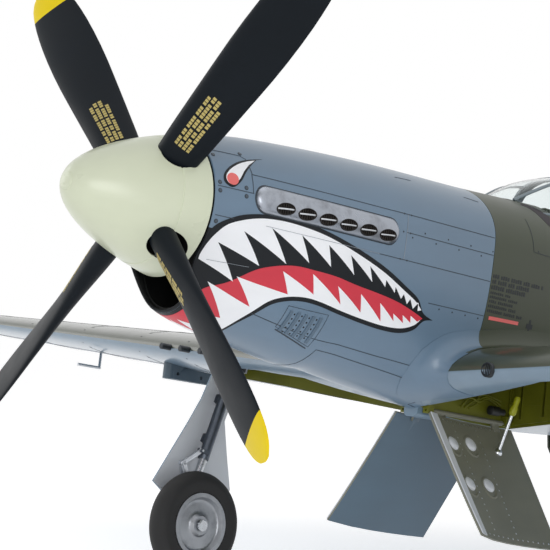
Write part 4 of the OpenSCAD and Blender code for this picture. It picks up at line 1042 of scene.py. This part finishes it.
RED_TOP = [
    (13, 0), (13.5, 12), (16, 24), (19, 29), (34, 36), (52, 47), (68.5, 52), (87, 54.2), (107, 53.5),
    (130, 52), (152, 49.3), (177, 46.8), (201, 44), (224, 40.4), (234, 38.6)]
WHITE_LOW = [
    (232, 38), (226, 35.2), (213, 33.2), (194, 33), (169, 34.3), (146, 36), (123, 38.2), (106, 38.9),
    (89, 37.4), (75, 33.5), (65, 26.5), (57.5, 19.5), (53.5, 13), (51, 6), (50, 0)]
LOWER_TEETH = [
    (44, 0), (20, 3), (40, 8), (16, 14), (44, 17.5), (18.4, 32.6), (60.6, 28.1), (39.3, 40.9),
    (88.7, 38.6), (77.2, 50), (112.8, 41), (106.2, 51.4), (142.4, 38.8), (134.2, 47.3), (165.4, 36.9),
    (160, 45.2), (189.5, 34.5), (182.8, 42.4), (203.3, 35.4), (200.4, 38.6), (214, 35.4), (211, 38.6),
    (222, 36), (220, 38.9), (229, 37)]
EYE = [
    (50.8, 129.6), (36.3, 127.8), (25.7, 125), (15.4, 119.3), (9.4, 112.4), (9.7, 106), (16.8, 102.8),
    (24.6, 108), (30.7, 116), (37.4, 122.5), (44.5, 128.3)]
EYE_WHITE = [
    (42.5, 127.2), (35, 126), (25.8, 123), (17, 118), (11.6, 112.2), (12, 107.2), (16.8, 104.8),
    (23, 109.2), (28.8, 116.6), (35, 122.6)]
PUPIL_AT, PUPIL_R = (17, 109.4), (5.3, 4.9)


def make_mouth():
    low = curve_through(WHITE_LOW)
    front = [(lip_y(a) + 2.6, a) for a in range(0, 50, 6)]
    (y, a), (long, high) = PUPIL_AT, PUPIL_R
    pupil = [(y + long * math.cos(t), a + high * math.sin(t)) for t in full_turn(32)]
    for name, layer, finish, outline in (
            ("mouth_edge", 0, "black", curve_through(MOUTH_TOP) + curve_through(MOUTH_LOW)[1:] + front),
            ("mouth_upper_teeth", 1, "white", curve_through(WHITE_TOP) + UPPER_TEETH),
            ("mouth_red", 1, "red", curve_through(RED_TOP) + low),
            ("mouth_lower_teeth", 2, "white", low + LOWER_TEETH),
            ("eye_edge", 0, "black", EYE[:1] + curve_through(EYE[1:])),
            ("eye_white", 1, "white", curve_through(EYE_WHITE)),
            ("eye_pupil", 2, "salmon", pupil)):
        both_sides(name, outline, LAYERS[layer], finish, "nose_paint")


def strip_on_skin(points, width, lift):
    """A thin line along a row of stations and angles."""
    row = [Vector(points[0])]
    for p, q in zip(points, points[1:]):
        p, q = Vector(p), Vector(q)
        n = max(1, math.ceil(max(abs(q.x - p.x) / 5, abs(q.y - p.y) / 4)))
        row += [p.lerp(q, k / n) for k in range(1, n + 1)]
    path = [on_skin(p.x, p.y, lift) for p in row]
    outs = [skin_axes(p.x, p.y)[3] for p in row]
    return loft("strip", ribbon(path, outs, width), around=False, caps=False)


def make_lines(name, lines, width, lift, finish, slot):
    strips = []
    for line in lines:
        for side in (1, -1):
            strips.append(strip_on_skin([(y, side * a) for y, a in line], width, lift))
    dress(sheet(join(name, strips), LINE_DEEP, 60), finish, slot)


def heights(pairs):
    """Places on the port skin from stations and heights."""
    return [(y, skin_angle(y, z)) for y, z in pairs]


def level_line(z, y0, y1):
    return heights((y, z) for y in evenly(y0, y1, max(1, round((y1 - y0) / 20))))


def ring_line(y, z0, z1):
    return heights((y, z) for z in evenly(z0, z1, 10))


def make_studs(name, spots, radius, height, finish, slot):
    """Fastener heads: one low dome, copied to each spot on the skin, on both sides."""
    clear()
    bpy.ops.mesh.primitive_cylinder_add(vertices=10, radius=radius / 1000, depth=2 * height / 1000)
    head = bpy.context.object
    edit(head)
    bpy.ops.mesh.select_all(action="DESELECT")
    bpy.ops.object.mode_set(mode="OBJECT")
    for face in head.data.polygons:
        face.select = face.normal.z > 0.9
    bpy.ops.object.mode_set(mode="EDIT")
    bpy.ops.mesh.inset(thickness=radius * 0.3 / 1000, depth=height * 0.3 / 1000)
    clear()
    places = []
    for y, angle in spots:
        for side in (1, -1):
            p, aft, rise, out = skin_axes(y, side * angle)
            places.append(axes_at(p, aft, out.cross(aft), out))
    dress(smooth(scatter(name, head, places), 40), finish, slot)


# Nose panel joins: heights of the long ones, the others as stations and degrees from the keel
TOP_JOIN, UPPER_JOIN, LOWER_JOIN, LOW_JOIN = 28, 13, -9.5, -39
NOSE_LINES = [
    [(62, 25.5), (120, 22.6), (200, 21), (278, 20.3), (290, 19.2)],
    [(136, 0), (138.5, 7), (141.5, 17.8), (158, 17.2), (216, 16.1), (279, 14.7), (290, 14.3)],
    [(290, 2.5), (280, 3), (279.5, 9.8), (290, 9.9)],
    [(200, 133.6), (219, 133.6)], [(280, 126.4), (297, 124.4)]]


def make_nose_lines():
    lines = [level_line(z, y, 304) for z, y in
             ((TOP_JOIN, 36), (UPPER_JOIN, 198), (LOWER_JOIN, 170), (LOW_JOIN, 236))]
    lines += [level_line(LOWER_JOIN, 3, 20), ring_line(35.5, TOP_JOIN, UPPER_JOIN),
              level_line(UPPER_JOIN, 3, 36), level_line(42, 4, 30),
              heights([(30, 42), (34, 40), (36, TOP_JOIN)])]
    make_lines("nose_panel_lines", lines + NOSE_LINES, 0.55, LINE_LIFT, "line", "nose_paint")
    spots = heights((y, UPPER_JOIN + (3 if k % 2 else -3)) for k, y in enumerate(range(205, 304, 14)))
    spots += heights((y, -42) for y in range(250, 300, 16))
    spots += heights((y, z) for y in (194, 202) for z in (TOP_JOIN, UPPER_JOIN, LOWER_JOIN))
    make_studs("nose_small_fasteners", spots, 0.75, 0.16, "line", "nose_paint")
    large = heights([(5, 16), (5, 9.5), (29, 16), (29, 9.5), (5, -14), (5, 38), (31, 44)])
    make_studs("nose_large_fasteners", large, 1.8, 0.2, "line", "nose_paint")
    make_studs("nose_fastener_heads", large, 1.15, 0.34, "stud", "nose_paint")
    seams = [level_line(LOWER_JOIN, 50, 170), level_line(-41.5, 10, 46)]
    make_lines("mouth_panel_seams", seams, 0.3, 0.66, "seam", "nose_paint")
    ring = [ring_line(198, TOP_JOIN, LOWER_JOIN)]
    make_lines("cowl_light_seam", ring, 0.5, LINE_LIFT, "seam", "nose_paint")


def make_louvres():
    """A small vent panel under the mouth: its edge, ribs painted darker as painted shade of the pressed
    slats, and rows of near-black holes as painted shade.
    """
    edge = [(94, 33.6), (92, 22.8), (132, 18.2), (135, 33.4), (94, 33.6)]
    make_lines("vent_panel_edge", [edge], 0.4, LINE_LIFT, "line", "nose_paint")
    ribs = [[(y, 31.6), (y - 2, 21.6 - (y - 98) * 0.06)] for y in (99, 106.5, 114, 121.5, 129)]
    # The ribs' darker paint is painted shade of the pressed slats.
    make_lines("vent_panel_ribs", ribs, 3.0, 0.5, "louvre", "nose_paint")
    make_lines("vent_panel_sill", [[(93, 21.6), (131, 17.2)]], 1.0, 0.14, "line", "nose_paint")
    spots = [(y - 0.5 * k, 30.4 - 2.2 * k) for y in (102.7, 110.2, 117.7, 125.2) for k in range(5)]
    # The holes are near-black dots: painted shade in each opening.
    make_studs("vent_panel_holes", spots, 0.8, 0.1, "hole", "nose_paint")


# Rows of plain bars on the fuselage: degrees from the keel, half height in degrees, bars in each group
DATA_ROWS = [(67.2, 1.3, (3, 4, 5, 3, 4, 1)), (63.8, 1.3, (2, 4, 3, 6)), (60.4, 1.3, (6, 9)),
             (57.2, 0.75, (7, 3)), (54.9, 0.75, (9, 5)), (52.5, 0.75, (4, 8)), (50.1, 0.75, (10, 4)),
             (47.7, 0.75, (8, 6, 3))]


def make_data_bars():
    bars = []

    def add(side, middle, y0, y1, a0, a1):
        corners = ((y0, a0), (y1, a0), (y1, a1), (y0, a1))
        bars.append([on_skin(y, side * (middle + a), BAR_LIFT) for y, a in corners])

    for angle, tall, groups in DATA_ROWS:
        z = skin_point(306, angle).z
        for k, (y0, y1) in enumerate(split_bars(307, groups, 2.0 if tall > 1 else 1.6, 0.85)):
            for side in (1, -1):
                add(side, skin_angle((y0 + y1) / 2, z), y0, y1, -tall, tall * (1 if k % 3 else 0.7))
    for side in (1, -1):
        add(side, 0, 360, 368, 43.8, 46)
        add(side, 0, 362.8, 365.2, 41.8, 48)
    dress(stamp("fuselage_data_bars", bars), "stencil", "olive_paint")


FUSELAGE_LINES = [
    [(353, 118), (354, 104), (355.6, 91), (376, 90.6), (404, 90.4), (470, 90)],
    [(309, 39), (330, 40.4), (354, 41.6), (392, 43.4), (470, 46)],
    [(306.5, 36.4), (309, 33.4), (318, 31.8)]]
REAR_JOINS = (702, 842, 962, 1062)


def make_fuselage_lines():
    """Panel joins, fasteners and a red bar on the olive skin."""
    lines = FUSELAGE_LINES + [[(y, a) for a in range(48, 172, 6)] for y in REAR_JOINS]
    for angle, slope in ((96, -0.3), (62, 0.4)):
        lines.append([(REAR_JOINS[0] + 20 * k, angle + slope * k) for k in range(25)])
    make_lines("fuselage_panel_lines", lines, 0.5, LINE_LIFT, "line", "olive_paint")
    spots = [(y, 37.6 + 0.05 * (y - 312)) for y in range(318, 470, 14)]
    spots += [(y - 4, a) for y in REAR_JOINS[:3] for a in range(54, 108, 8)]
    spots += [(y, 92.2) for y in range(362, 470, 18)]
    make_studs("fuselage_fasteners", spots, 0.7, 0.14, "line", "olive_paint")
    mark = [(311, 43.6), (349, 44.2), (349, 45.8), (311, 45.2)]
    both_sides("fuselage_red_bar", mark, 0.16, "salmon", "olive_paint")


# Panel joins on the wings: ends as span and chord fraction, and the faces, 1 for the top and -1 below
TOP, BELOW, BOTH = (1,), (-1,), (1, -1)
WING_JOINS = [
    ((130, 0.16), (800, 0.16), BOTH), ((330, 0.42), (785, 0.42), BOTH), ((80, 0.42), (330, 0.42), TOP),
    ((80, 0.62), (785, 0.62), BELOW)]
WING_JOINS += [((x, 0.02), (x, 0.74), BOTH) for x in (345, 430, 540, 650, 770)]
WING_JOINS += [((x, 0.06), (x, 0.76), TOP) for x in (150, 234)]
WING_JOINS += [((250, f), (330, f), TOP) for f in (0.22, 0.38)]
WING_JOINS += [((x, 0.22), (x, 0.38), TOP) for x in (250, 330)]


def make_wing_lines():
    strips = []
    for start, end, faces in WING_JOINS:
        row = list(zip(evenly(start[0], end[0], 16), evenly(start[1], end[1], 16)))
        for face in faces:
            path = [wing_point(x, f, face, LINE_LIFT) for x, f in row]
            rings = ribbon(path, [Vector((0, 0, face))] * len(path), WING_LINE_WIDE)
            strips += [loft("strip", sided(rings, side), around=False, caps=False) for side in (1, -1)]
    dress(sheet(join("wing_panel_lines", strips), WING_LINE_DEEP, 60, 0), "line", "olive_paint")


# Exhaust row: the shroud's ends, middle height and half height; a stack's half length and half height
SHROUD_Y, SHROUD_Z, SHROUD_HALF = (38, 188), 10.4, 10.6
STACK_YS = [64.5 + 21.8 * k for k in range(6)]
STACK_LONG, STACK_TALL, STACK_DROP = 9.2, 4.9, 4.2
RIB_STEP = 2.3


def shroud_skin(name, side, spread, height):
    """A bulging capsule laid on the skin, with round ends."""
    rings = []
    for i in range(49):
        u = -math.cos(math.pi * i / 48)
        y = mix(SHROUD_Y[0] - spread, SHROUD_Y[1] + spread, (u + 1) / 2)
        end = min(1, (1 - abs(u)) / 0.14)
        full = math.sqrt(max(0, 1 - (1 - end) ** 2))
        ring = []
        for j in range(25):
            v = -math.cos(math.pi * j / 24)
            z = SHROUD_Z + (SHROUD_HALF + spread) * full * v
            p, aft, rise, out = skin_axes(y, skin_angle(y, z))
            ring.append(p + out * (height * math.sqrt(max(0, 1 - v * v)) * full ** 0.7 - 0.3))
        rings.append(ring)
    return loft(name, sided(rings, side), around=False)


def make_exhausts():
    for side, tag in SIDES:
        rim = shroud_skin("exhaust_edge_" + tag, side, 1.0, 2.0)
        dress(rim, "line", "exhaust_shroud")
        shroud = shroud_skin("exhaust_shroud_" + tag, side, 0, 4.8)
        stacks, bars = [], []
        for stack_y in STACK_YS:
            p, aft, rise, out = skin_axes(stack_y, skin_angle(stack_y, SHROUD_Z - STACK_DROP))

            def piece(name, rings):
                """A loft over rings of steps aft, up the skin and out from it."""
                points = [[p + aft * a + rise * b + out * c for a, b, c in ring] for ring in rings]
                return loft(name, sided(points, side))

            def oval(size, height):
                a, b = STACK_LONG * size, STACK_TALL * size
                return [(a * math.cos(t), b * math.sin(t), height) for t in full_turn(32)]

            cut(shroud, piece("pocket", [oval(1, 2), oval(1, 9)]))
            wall = [oval(0.99, 1.6), oval(0.99, 4.5), oval(0.9, 4.4), oval(0.86, 2.6), oval(0.5, 2.2)]
            stacks.append(piece("stack", wall))
            small = [(math.cos(t), math.sin(t)) for t in full_turn(8)]
            for a in [RIB_STEP * k for k in range(-3, 4)]:
                tall = 3.9 * math.sqrt(1 - (a / STACK_LONG) ** 2)
                rib = [[(a + 0.5 * c, h, 3.1 + 0.7 * s) for c, s in small] for h in (-tall, tall)]
                stacks.append(piece("rib", rib))
            bar = [[(8.4 * e, 0.75 * c, 4.1 + 0.6 * s - 0.6 * e * e) for c, s in small]
                   for e in evenly(-1, 1, 4)]
            bars.append(piece("bar", bar))
        dress(smooth(shroud), "shroud", "exhaust_shroud", "exhaust_shrouds")
        dress(join("exhaust_pipes_" + tag, stacks), "stack", "exhaust_iron", "exhaust_stacks")
        dress(join("exhaust_dividers_" + tag, bars), "silver", "exhaust_shroud")


# Wing root fairings: chord fraction, wing face, way up the side in degrees, reach there, span on the wing
FILLET_FRONT = [
    (0.098, 1, 84, 13, 64.5), (0.08, 1, 80, 14, 65.5), (0.06, 1, 74, 15, 67), (0.04, 1, 66, 17, 68),
    (0.024, 1, 56, 18, 68), (0.012, 1, 44, 19, 67), (0.004, 1, 28, 20, 65.5), (0, 1, 8, 20, 63.5),
    (0.004, -1, -14, 20, 62), (0.012, -1, -30, 19, 61), (0.024, -1, -42, 18, 61.5),
    (0.036, -1, -50, 15, 64), (0.05, -1, -58, 12, 68.5), (0.058, -1, -62, 10, 72)]
FILLET_LIFT, FILLET_HOLLOW, FILLET_DEEP = 0.12, 0.12, 0.3
PORT_X, PORT_R, PORT_BAR_STEP = 99, 5, 1.9


def root_meeting(f, face):
    """Where the wing section at chord fraction f meets the fuselage side."""
    x = ROOT_X - 2
    for _ in range(24):
        p = wing_point(x, f, face)
        x = 0.5 * (x + skin_point(p.y, skin_angle(p.y, p.z)).x)
    return Vector((x, p.y, p.z))


def fairing(name, stations, side):
    """A hollow-curved strip between the fuselage side and the wing."""
    rows = []
    for f, face, way, reach, x2 in stations:
        meeting = root_meeting(f, face)
        r = max(40, math.hypot(meeting.x, meeting.z - section(meeting.y)[0][1]))
        way = math.radians(way)
        angle = skin_angle(meeting.y, meeting.z) + math.degrees(reach * math.sin(way) / r)
        foot = on_skin(meeting.y - reach * math.cos(way), angle, FILLET_LIFT)
        end = wing_point(x2, f, face, FILLET_LIFT)
        end.y -= 0.15 * (f < 0.01)
        corner = meeting + (foot - meeting + end - meeting) * FILLET_HOLLOW
        rows.append([foot * (1 - t) ** 2 + corner * (2 * t * (1 - t)) + end * t ** 2
                     for t in evenly(0, 1, 10)])
    return sheet(loft(name, sided(rows, side), around=False, caps=False), FILLET_DEEP, 50)


def make_fairings():
    def on_nose(p, n):
        return p.y < COWL_END - max(0, abs(p.x) - 63) * max(0, p.z + 84) * 0.5

    rear = []
    for u in evenly(0, 1, 16):
        f, grow = mix(0.107, 0.97, u), u ** 1.5
        x = root_meeting(f, 1).x + mix(9, 32, grow)
        rear.append((f, 1, 88, mix(13, 30, grow), min(FLAP_X[0] - 2, x) if f > 0.7 else x))
    for side, tag in SIDES:
        obj = fairing("wing_fillet_" + tag, rear[::-1] + FILLET_FRONT, side)
        dress(obj, "olive", "olive_paint")
        paint_faces(obj, "nose", on_nose)


def make_wing_ports():
    """A small barred opening in the front edge of each wing."""
    y, z = le_y(PORT_X), mid_z(PORT_X, 0) - 0.5
    wall = ((6.3, 6), (6.3, -0.6), (5.9, -1.3), (5.2, -1.3), (PORT_R, -0.6), (PORT_R, 2), (1, 2))
    rings, bars = [], []
    for side in (1, -1):
        rings.append(loft("ring", sided([hoop(r, y + dy, 32, PORT_X, z) for r, dy in wall], side)))
        for x in [PORT_BAR_STEP * k for k in range(-2, 3)]:
            tall = math.sqrt(PORT_R ** 2 - x ** 2)
            bar = [[Vector((PORT_X + x + 0.45 * math.cos(t), y - 0.4 + 0.5 * math.sin(t), z + h))
                    for t in full_turn(8)] for h in (-tall, tall)]
            bars.append(loft("bar", sided(bar, side)))
    dress(join("wing_ports", rings), "stencil", "gun_metal")
    dress(join("wing_port_bars", bars), "gun", "gun_metal")


# Inner doors of the wheel bay: hinge line, opening, round fittings as size and height over the shut door
DOOR_HINGE = (13.5, -121.357)
DOOR_OPEN = math.radians(64)
OVAL_RIM = ((1.16, 2.15), (1.14, 2.7), (1.05, 3.2), (0.96, 3.2), (0.9, 2.7), (0.84, 2.25))
OVAL_PAN = ((0.9, 2.1), (0.88, 3), (0.75, 4), (0.5, 4.7), (0.25, 5), (0.08, 5.1))
ROD_FOOT = ((1, 2.1), (1, 3), (0.7, 4.4), (0.4, 5))
RIVET = ((1, -0.1), (0.9, 0.22), (0.5, 0.38))
ROD_X, ROD_Y = 44.7, 377
DOOR_STRIP_END, STRIP_HEIGHT = 304, 2.9


def door_point(x, y, lift, side):
    """A point of the shut door, swung open with it."""
    dx, dz = x - DOOR_HINGE[0], low_z(x, y) + lift - DOOR_HINGE[1]
    c, s = math.cos(DOOR_OPEN), math.sin(DOOR_OPEN)
    return Vector((side * (DOOR_HINGE[0] + dx * c + dz * s), y, DOOR_HINGE[1] - dx * s + dz * c))


def door_patch(name, xs, ys, lift, thick, side):
    rings = [[door_point(x, y, lift, side) for y in evenly(*ys, 8)] for x in evenly(*xs, 8)]
    return sheet(loft(name, rings, around=False, caps=False), thick)


def door_boss(name, x, y, rx, ry, profile, side, lean=0.0, n=28):
    """A round fitting on the door; its profile gives the size and height of each ring."""
    rings = []
    for s, h in profile:
        rings.append([door_point(x - lean * s + rx * s * math.cos(t), y + ry * s * math.sin(t), h, side)
                      for t in full_turn(n)])
    return loft(name, rings)


def rivet_spots():
    columns = [(22, y) for y in range(306, 396, 6)] + [(134, y) for y in range(306, 400, 7)]
    rows = [(x, y) for y in (324.5, 356) for x in range(26, 134, 6)]
    return columns + rows + [(x, 299) for x in range(24, 136, 9)]


def make_door_fittings():
    for (side, tag), node in zip(SIDES, ("left_bay_door", "right_bay_door")):
        body = tag + "_inner_door"
        door = fair(node, "door", "underside_paint")
        inward = door_point(60, 345, 3, side) - door_point(60, 345, 2, side)
        # The door's outer face is darker than the underside paint: painted shade.
        paint_faces(door, "bay_door", lambda p, n: n.dot(inward) < -0.4)
        strip = (18.5, 138), (294.2, DOOR_STRIP_END)
        edge = door_patch("door_front_strip_" + tag, *strip, STRIP_HEIGHT, 0.8, side)
        dress(edge, "bright", "leg_metal", body=body)
        ovals = ((48, 313), (44.5, 340), (88, 314), (85, 343))
        rims = [door_boss("rim", x, y, 9.6, 8.2, OVAL_RIM, side) for x, y in ovals]
        dress(join("door_oval_rims_" + tag, rims), "door", "underside_paint", body=body)
        pans = [door_boss("pan", x, y, 7.4, 7.2, OVAL_PAN, side, 2.4) for x, y in ovals]
        # The pans are pale paint in place of shiny metal: a painted reflection.
        dress(join("door_oval_pans_" + tag, pans), "bright", "leg_metal", body=body)
        heads = []
        for x, y in rivet_spots():
            base = STRIP_HEIGHT if y < DOOR_STRIP_END else 2.2
            heads.append(door_boss("head", x, y, 0.9, 0.9, [(s, base + h) for s, h in RIVET], side, n=6))
        dress(join("door_rivets_" + tag, heads), "silver", "leg_metal", body=body)
        foot, top = door_point(ROD_X, ROD_Y, 2.4, side), Vector((44 * side, 380, -99))
        rod = tube("door_rod_" + tag, [foot.lerp(top, k / 6) for k in range(6)], 1.5)
        dress(rod, "silver", "shaft_steel", body=body)
        row = [foot.lerp(top, u) for u in (0.66, 0.68, 0.7, 0.8, 0.83, 0.96, 1)]
        sleeve = tube("door_sleeve_" + tag, row, [1.7, 3, 3.4, 3.4, 2.7, 2.7, 2])
        dress(sleeve, "sleeve", "primer_green")
        lug = door_boss("door_rod_foot_" + tag, ROD_X, ROD_Y, 4, 4, ROD_FOOT, side)
        dress(lug, "silver", "leg_metal", body=body)


# Fittings on the back wall of each wheel bay; the hoses run through these points, spread by these steps
WALL_Y = 409.5
RIVET_SIZE = 1.2
HOSE = [((14, 340, -113), (0, 1, 0)), ((14.5, 350, -104), (0, 1, -0.4)), ((15, 362, -106), (0, 0, 0.5)),
        ((14.5, 374, -102), (0, 0, 0.3)), ((14, 392, -108), (0, 0, 0.6))]


def make_bay_fittings():
    for side, tag in SIDES:
        def box(x0, x1, y0, y1, z0, z1):
            outline = ((x0, y0), (x1, y0), (x1, y1), (x0, y1))
            return loft("post", sided([[Vector((x, y, z)) for x, y in outline] for z in (z0, z1)], side))

        def rivet(x, z):
            return box(x, x + RIVET_SIZE, 408.4, 409.6, z, z + RIVET_SIZE)

        posts, heads, hoses = [], [], []
        for x in (26, 52, 78, 104, 130):
            low, high = low_z(x, 409) + 7, top_z(x, 409) - 4
            posts.append(box(x - 0.8, x + 0.8, 405, WALL_Y, low, high))
            posts.append(box(x - 4, x + 0.8, 405, 405.8, low, high))
            heads += [rivet(x + 4, z) for z in evenly(low + 4, high - 4, 5)]
        heads += [rivet(x, low_z(x, 409) + 4) for x in range(16, 180, 6)]
        posts.append(box(12, 132, 406.5, WALL_Y, -103, -101))
        for drop in (0, 5, 10):
            points = [Vector(p) + Vector(spread) * drop for p, spread in HOSE]
            hoses.append(tube("hose", sided([curve_through(points)], side)[0], 0.9))
        jack = [Vector((side * 19, y, -112)) for y in (372, 373, 384, 385, 391, 392)]
        dress(tube("bay_jack_" + tag, jack, [2.5, 4.2, 4.2, 3, 3, 1.6]), "dark", "dark_plastic")
        dress(join("bay_stiffeners_" + tag, posts), "primer", "primer_green")
        dress(join("bay_rivets_" + tag, heads), "sleeve", "primer_green")
        dress(join("bay_hoses_" + tag, hoses), "primer", "primer_green")
    outline = ((-8, -119), (8, -119), (8, -125), (5, -127.5), (-5, -127.5), (-8, -125))
    keel = [[(x, y, z) for x, z in outline] for y in (292, 300, 408)]
    dress(loft("belly_keel", keel), "under", "underside_paint")


# Windscreen and sliding hood: station, top and half width of the glass over its sill
GLAZING = [
    [366, 76, 34], [394, 93.5, 44], [420, 107, 49], [448, 115, 52], [500, 122, 55], [550, 123, 56],
    [620, 117.5, 54], [690, 106, 47], [750, 95, 34], [786, 86, 18]]
BOW_Y = 452
SILL_Z = 40
FRAME_LOW, FRAME_HIGH = -1.8, 0.8


def glazing_point(y, degrees, grow):
    """A point on the glass: flat-topped in front, rounder behind the bow."""
    h, w = lut(GLAZING, 1, y) + grow, lut(GLAZING, 2, y) + grow
    c, s = math.cos(math.radians(degrees)), max(math.sin(math.radians(degrees)), 0)
    soft = ease((y - 425) / 70)
    x = w * abs(c) ** mix(0.6, 0.8, soft) * math.copysign(1, c)
    return Vector((x, y, SILL_Z + (h - SILL_Z) * s ** mix(0.62, 0.85, soft)))


def glazing_band(name, ys, turns, low, high):
    """A strip of the glazing between two depths."""
    edge = [(t, high) for t in turns] + [(t, low) for t in turns[::-1]]
    return loft(name, [[glazing_point(y, t, grow) for t, grow in edge] for y in ys])


def make_glazing(name, ys, node, body):
    obj = glazing_band(name, ys, [4.5 * k for k in range(41)], -1.2, 0)
    dress(obj, "glass", "clear_glazing", node, body=body)


def make_glazing_frames():
    turns = [6 + 4 * k for k in range(43)]
    front = [glazing_band("bow", [BOW_Y - 5, BOW_Y - 2.5, BOW_Y], turns, FRAME_LOW, FRAME_HIGH)]
    ys = range(374, BOW_Y - 1, 4)
    for turn in (62, 118):
        front.append(tube("post", [glazing_point(y, turn, -0.2) for y in ys], 1.7))
    for turn, lean in ((8, 16), (172, -16)):
        front.append(tube("foot", [glazing_point(y, turn + lean * (450 - y) / 75, 0.2) for y in ys], 1.5))
    dress(join("windscreen_bars", front), "frame", "frame_grey", "windscreen_frame")
    rear = [glazing_band("rail", range(454, 742, 12), rail, FRAME_LOW, 0.9)
            for rail in ([8, 12, 16, 20], [172, 168, 164, 160])]
    rear.append(glazing_band("bow", [BOW_Y + 0.9, BOW_Y + 4, BOW_Y + 7], turns, FRAME_LOW, FRAME_HIGH))
    dress(join("hood_rails", rear), "frame", "frame_grey", "canopy_frame", body="hood")
    sill = [(370, 143), (376, 139), (380, 127), (386, 117), (396, 112), (420, 109.5), (468, 108),
            (468, 116), (420, 119), (400, 124), (394, 136), (386, 146), (376, 148)]
    # A dark strip painted on the skin along the foot of the glass.
    both_sides("cockpit_sill_dark_strip", curve_through(sill, 4, True), LAYERS[0], "coaming", "olive_paint")


def make_leg_doors():
    """Painted outside; inside towards the leg, pale silver paint that is partly a painted reflection of
    bright metal.
    """
    for side, node in ((1, "left_leg_door"), (-1, "right_leg_door")):
        door = fair(node, "under", "underside_paint")
        paint_faces(door, "bright", lambda p, n: n.x * side < -0.15)


# Floor and light: lamps as name, place, target, size and power
LAMPS = (("overhead", (0.4, -0.5, 2.6), (0, -0.4, 0.3), 2.6, 6),
         ("front", (2.4, -2.3, 0.5), (0, -0.5, 0.3), 1.7, 32),
         ("far side", (-2.2, -1.4, 1.4), (0, -0.4, 0.3), 1.6, 12))
WHITE = (1, 1, 1, 1)
FLOOR_GLOW, SKY_LIGHT = (0.27, 0.55), (0.68, 0.36)


def seen_directly(tree):
    """One for rays from the camera, a reflection or the glass, nought for rays that only bring light."""
    path = add_node(tree, "ShaderNodeLightPath").outputs
    seen = math_node(tree, "MAXIMUM", path["Is Camera Ray"], path["Is Glossy Ray"])
    return math_node(tree, "MAXIMUM", seen, path["Is Transmission Ray"])


def make_stage():
    clear()
    bpy.ops.mesh.primitive_plane_add(size=40, location=(0, 0, 0))
    floor = bpy.context.object
    floor.name = "floor"
    material, tree, shader = new_material("pale floor")
    glow = map_range(tree, seen_directly(tree), 0.0, 1.0, *FLOOR_GLOW)
    fill(tree, shader, {"Base Color": (0.86, 0.86, 0.87, 1), "Roughness": 0.9, "Emission Color": WHITE,
                        "Emission Strength": glow})
    floor.data.materials.append(material)

    world = bpy.data.worlds.new("studio")
    bpy.context.scene.world = world
    world.use_nodes = True
    tree = world.node_tree
    look = add_node(tree, "ShaderNodeTexCoord").outputs["Generated"]
    height = add_node(tree, "ShaderNodeSeparateXYZ", {0: look}).outputs["Z"]
    soft = map_range(tree, height, 0.1, 0.9, *SKY_LIGHT)
    strength = math_node(tree, "MAXIMUM", seen_directly(tree), soft)
    fill(tree, tree.nodes["Background"], {"Color": WHITE, "Strength": strength})

    for name, place, target, size, power in LAMPS:
        data = bpy.data.lights.new(name, "AREA")
        data.size = size
        data.energy = power
        lamp = add_object(name, data)
        lamp.location = place
        lamp.rotation_euler = (Vector(target) - Vector(place)).to_track_quat("-Z", "Y").to_euler()
    bpy.context.scene.view_settings.view_transform = "Standard"


def keep_inside(obj, depth):
    """Draws a copied inner piece in where the painted skin lies lower than it."""
    for v in obj.data.vertices:
        p = plane_of(v.co)
        y = max(FIRST_Y, p.y)
        middle = Vector((0, p.y, section(y)[0][1]))
        angle = math.degrees(math.atan2(p.x, middle.z - p.z))
        edge = skin_point(y, angle, -depth)
        room = math.hypot(edge.x, edge.z - middle.z)
        reach = (p - middle).length
        if reach > room and p.z > middle.z:
            v.co = at(*(middle + (p - middle) * (room / reach)))


# Solids that keep their own form, by finish and slot
PLAIN = {
    ("wood", "plywood"): "battery_tray",
    ("leg", "motor_metal"): "motor_stator motor_bell",
    ("dark", "dark_plastic"): "electronics servos hinge_blocks",
    ("wrap", "battery_wrap"): "battery",
    ("carbon", "spar_tube"): "wing_spar",
    ("primer", "primer_green"): "wheel_bays",
    ("wing", "olive_paint"): "tailplane elevators left_aileron right_aileron left_flap right_flap",
    ("fin", "olive_paint"): "fin rudder",
    ("olive", "olive_paint"): "belly_scoop",
    ("dark", "radiator_core"): "radiator",
    ("cockpit", "cockpit_interior"): "cockpit",
    ("leg", "leg_metal"): "retract_units tail_bracket tail_fork left_hub right_hub",
    ("gun", "gun_metal"): "gun_barrels",
    ("slate", "pylon_slate"): "pylons",
    ("steel", "shaft_steel"): "pitot prop_shaft left_oleo right_oleo",
    ("strut", "leg_metal"): "left_leg right_leg",
    ("rubber", "tyre_rubber"): "left_tyre right_tyre tail_wheel",
    ("silver", "leg_metal"): "left_upper_link right_upper_link left_lower_link right_lower_link",
}

add_camera()
make_stage()
make_cowl()
make_intake()
make_fuselage()
make_fairings()
make_wing_ports()
make_wing(1, "left_wing")
make_wing(-1, "right_wing")
make_spinner()
make_blades()
make_blade_bars()
make_mouth()
make_nose_lines()
make_louvres()
make_fuselage_lines()
make_data_bars()
make_wing_lines()
make_exhausts()
make_glazing("windscreen_glass", [372, 380, 390, 402, 415, 430, 442, BOW_Y], "windscreen", "airframe")
make_glazing("hood_glass", [BOW_Y + 0.8] + list(range(462, 784, 12)) + [784], "canopy", "hood")
make_glazing_frames()
make_door_fittings()
make_bay_fittings()
make_leg_doors()
for (finish, slot), nodes in PLAIN.items():
    for node in nodes.split():
        fair(node, finish, slot)
keep_inside(fair("bulkheads", "wood", "plywood"), SKIN + 0.2)
lights = fair("nav_lights", "glass", "lens")
paint_faces(lights, "lens_red", lambda p, n: p.x > 100)
paint_faces(lights, "lens_green", lambda p, n: p.x < -100)
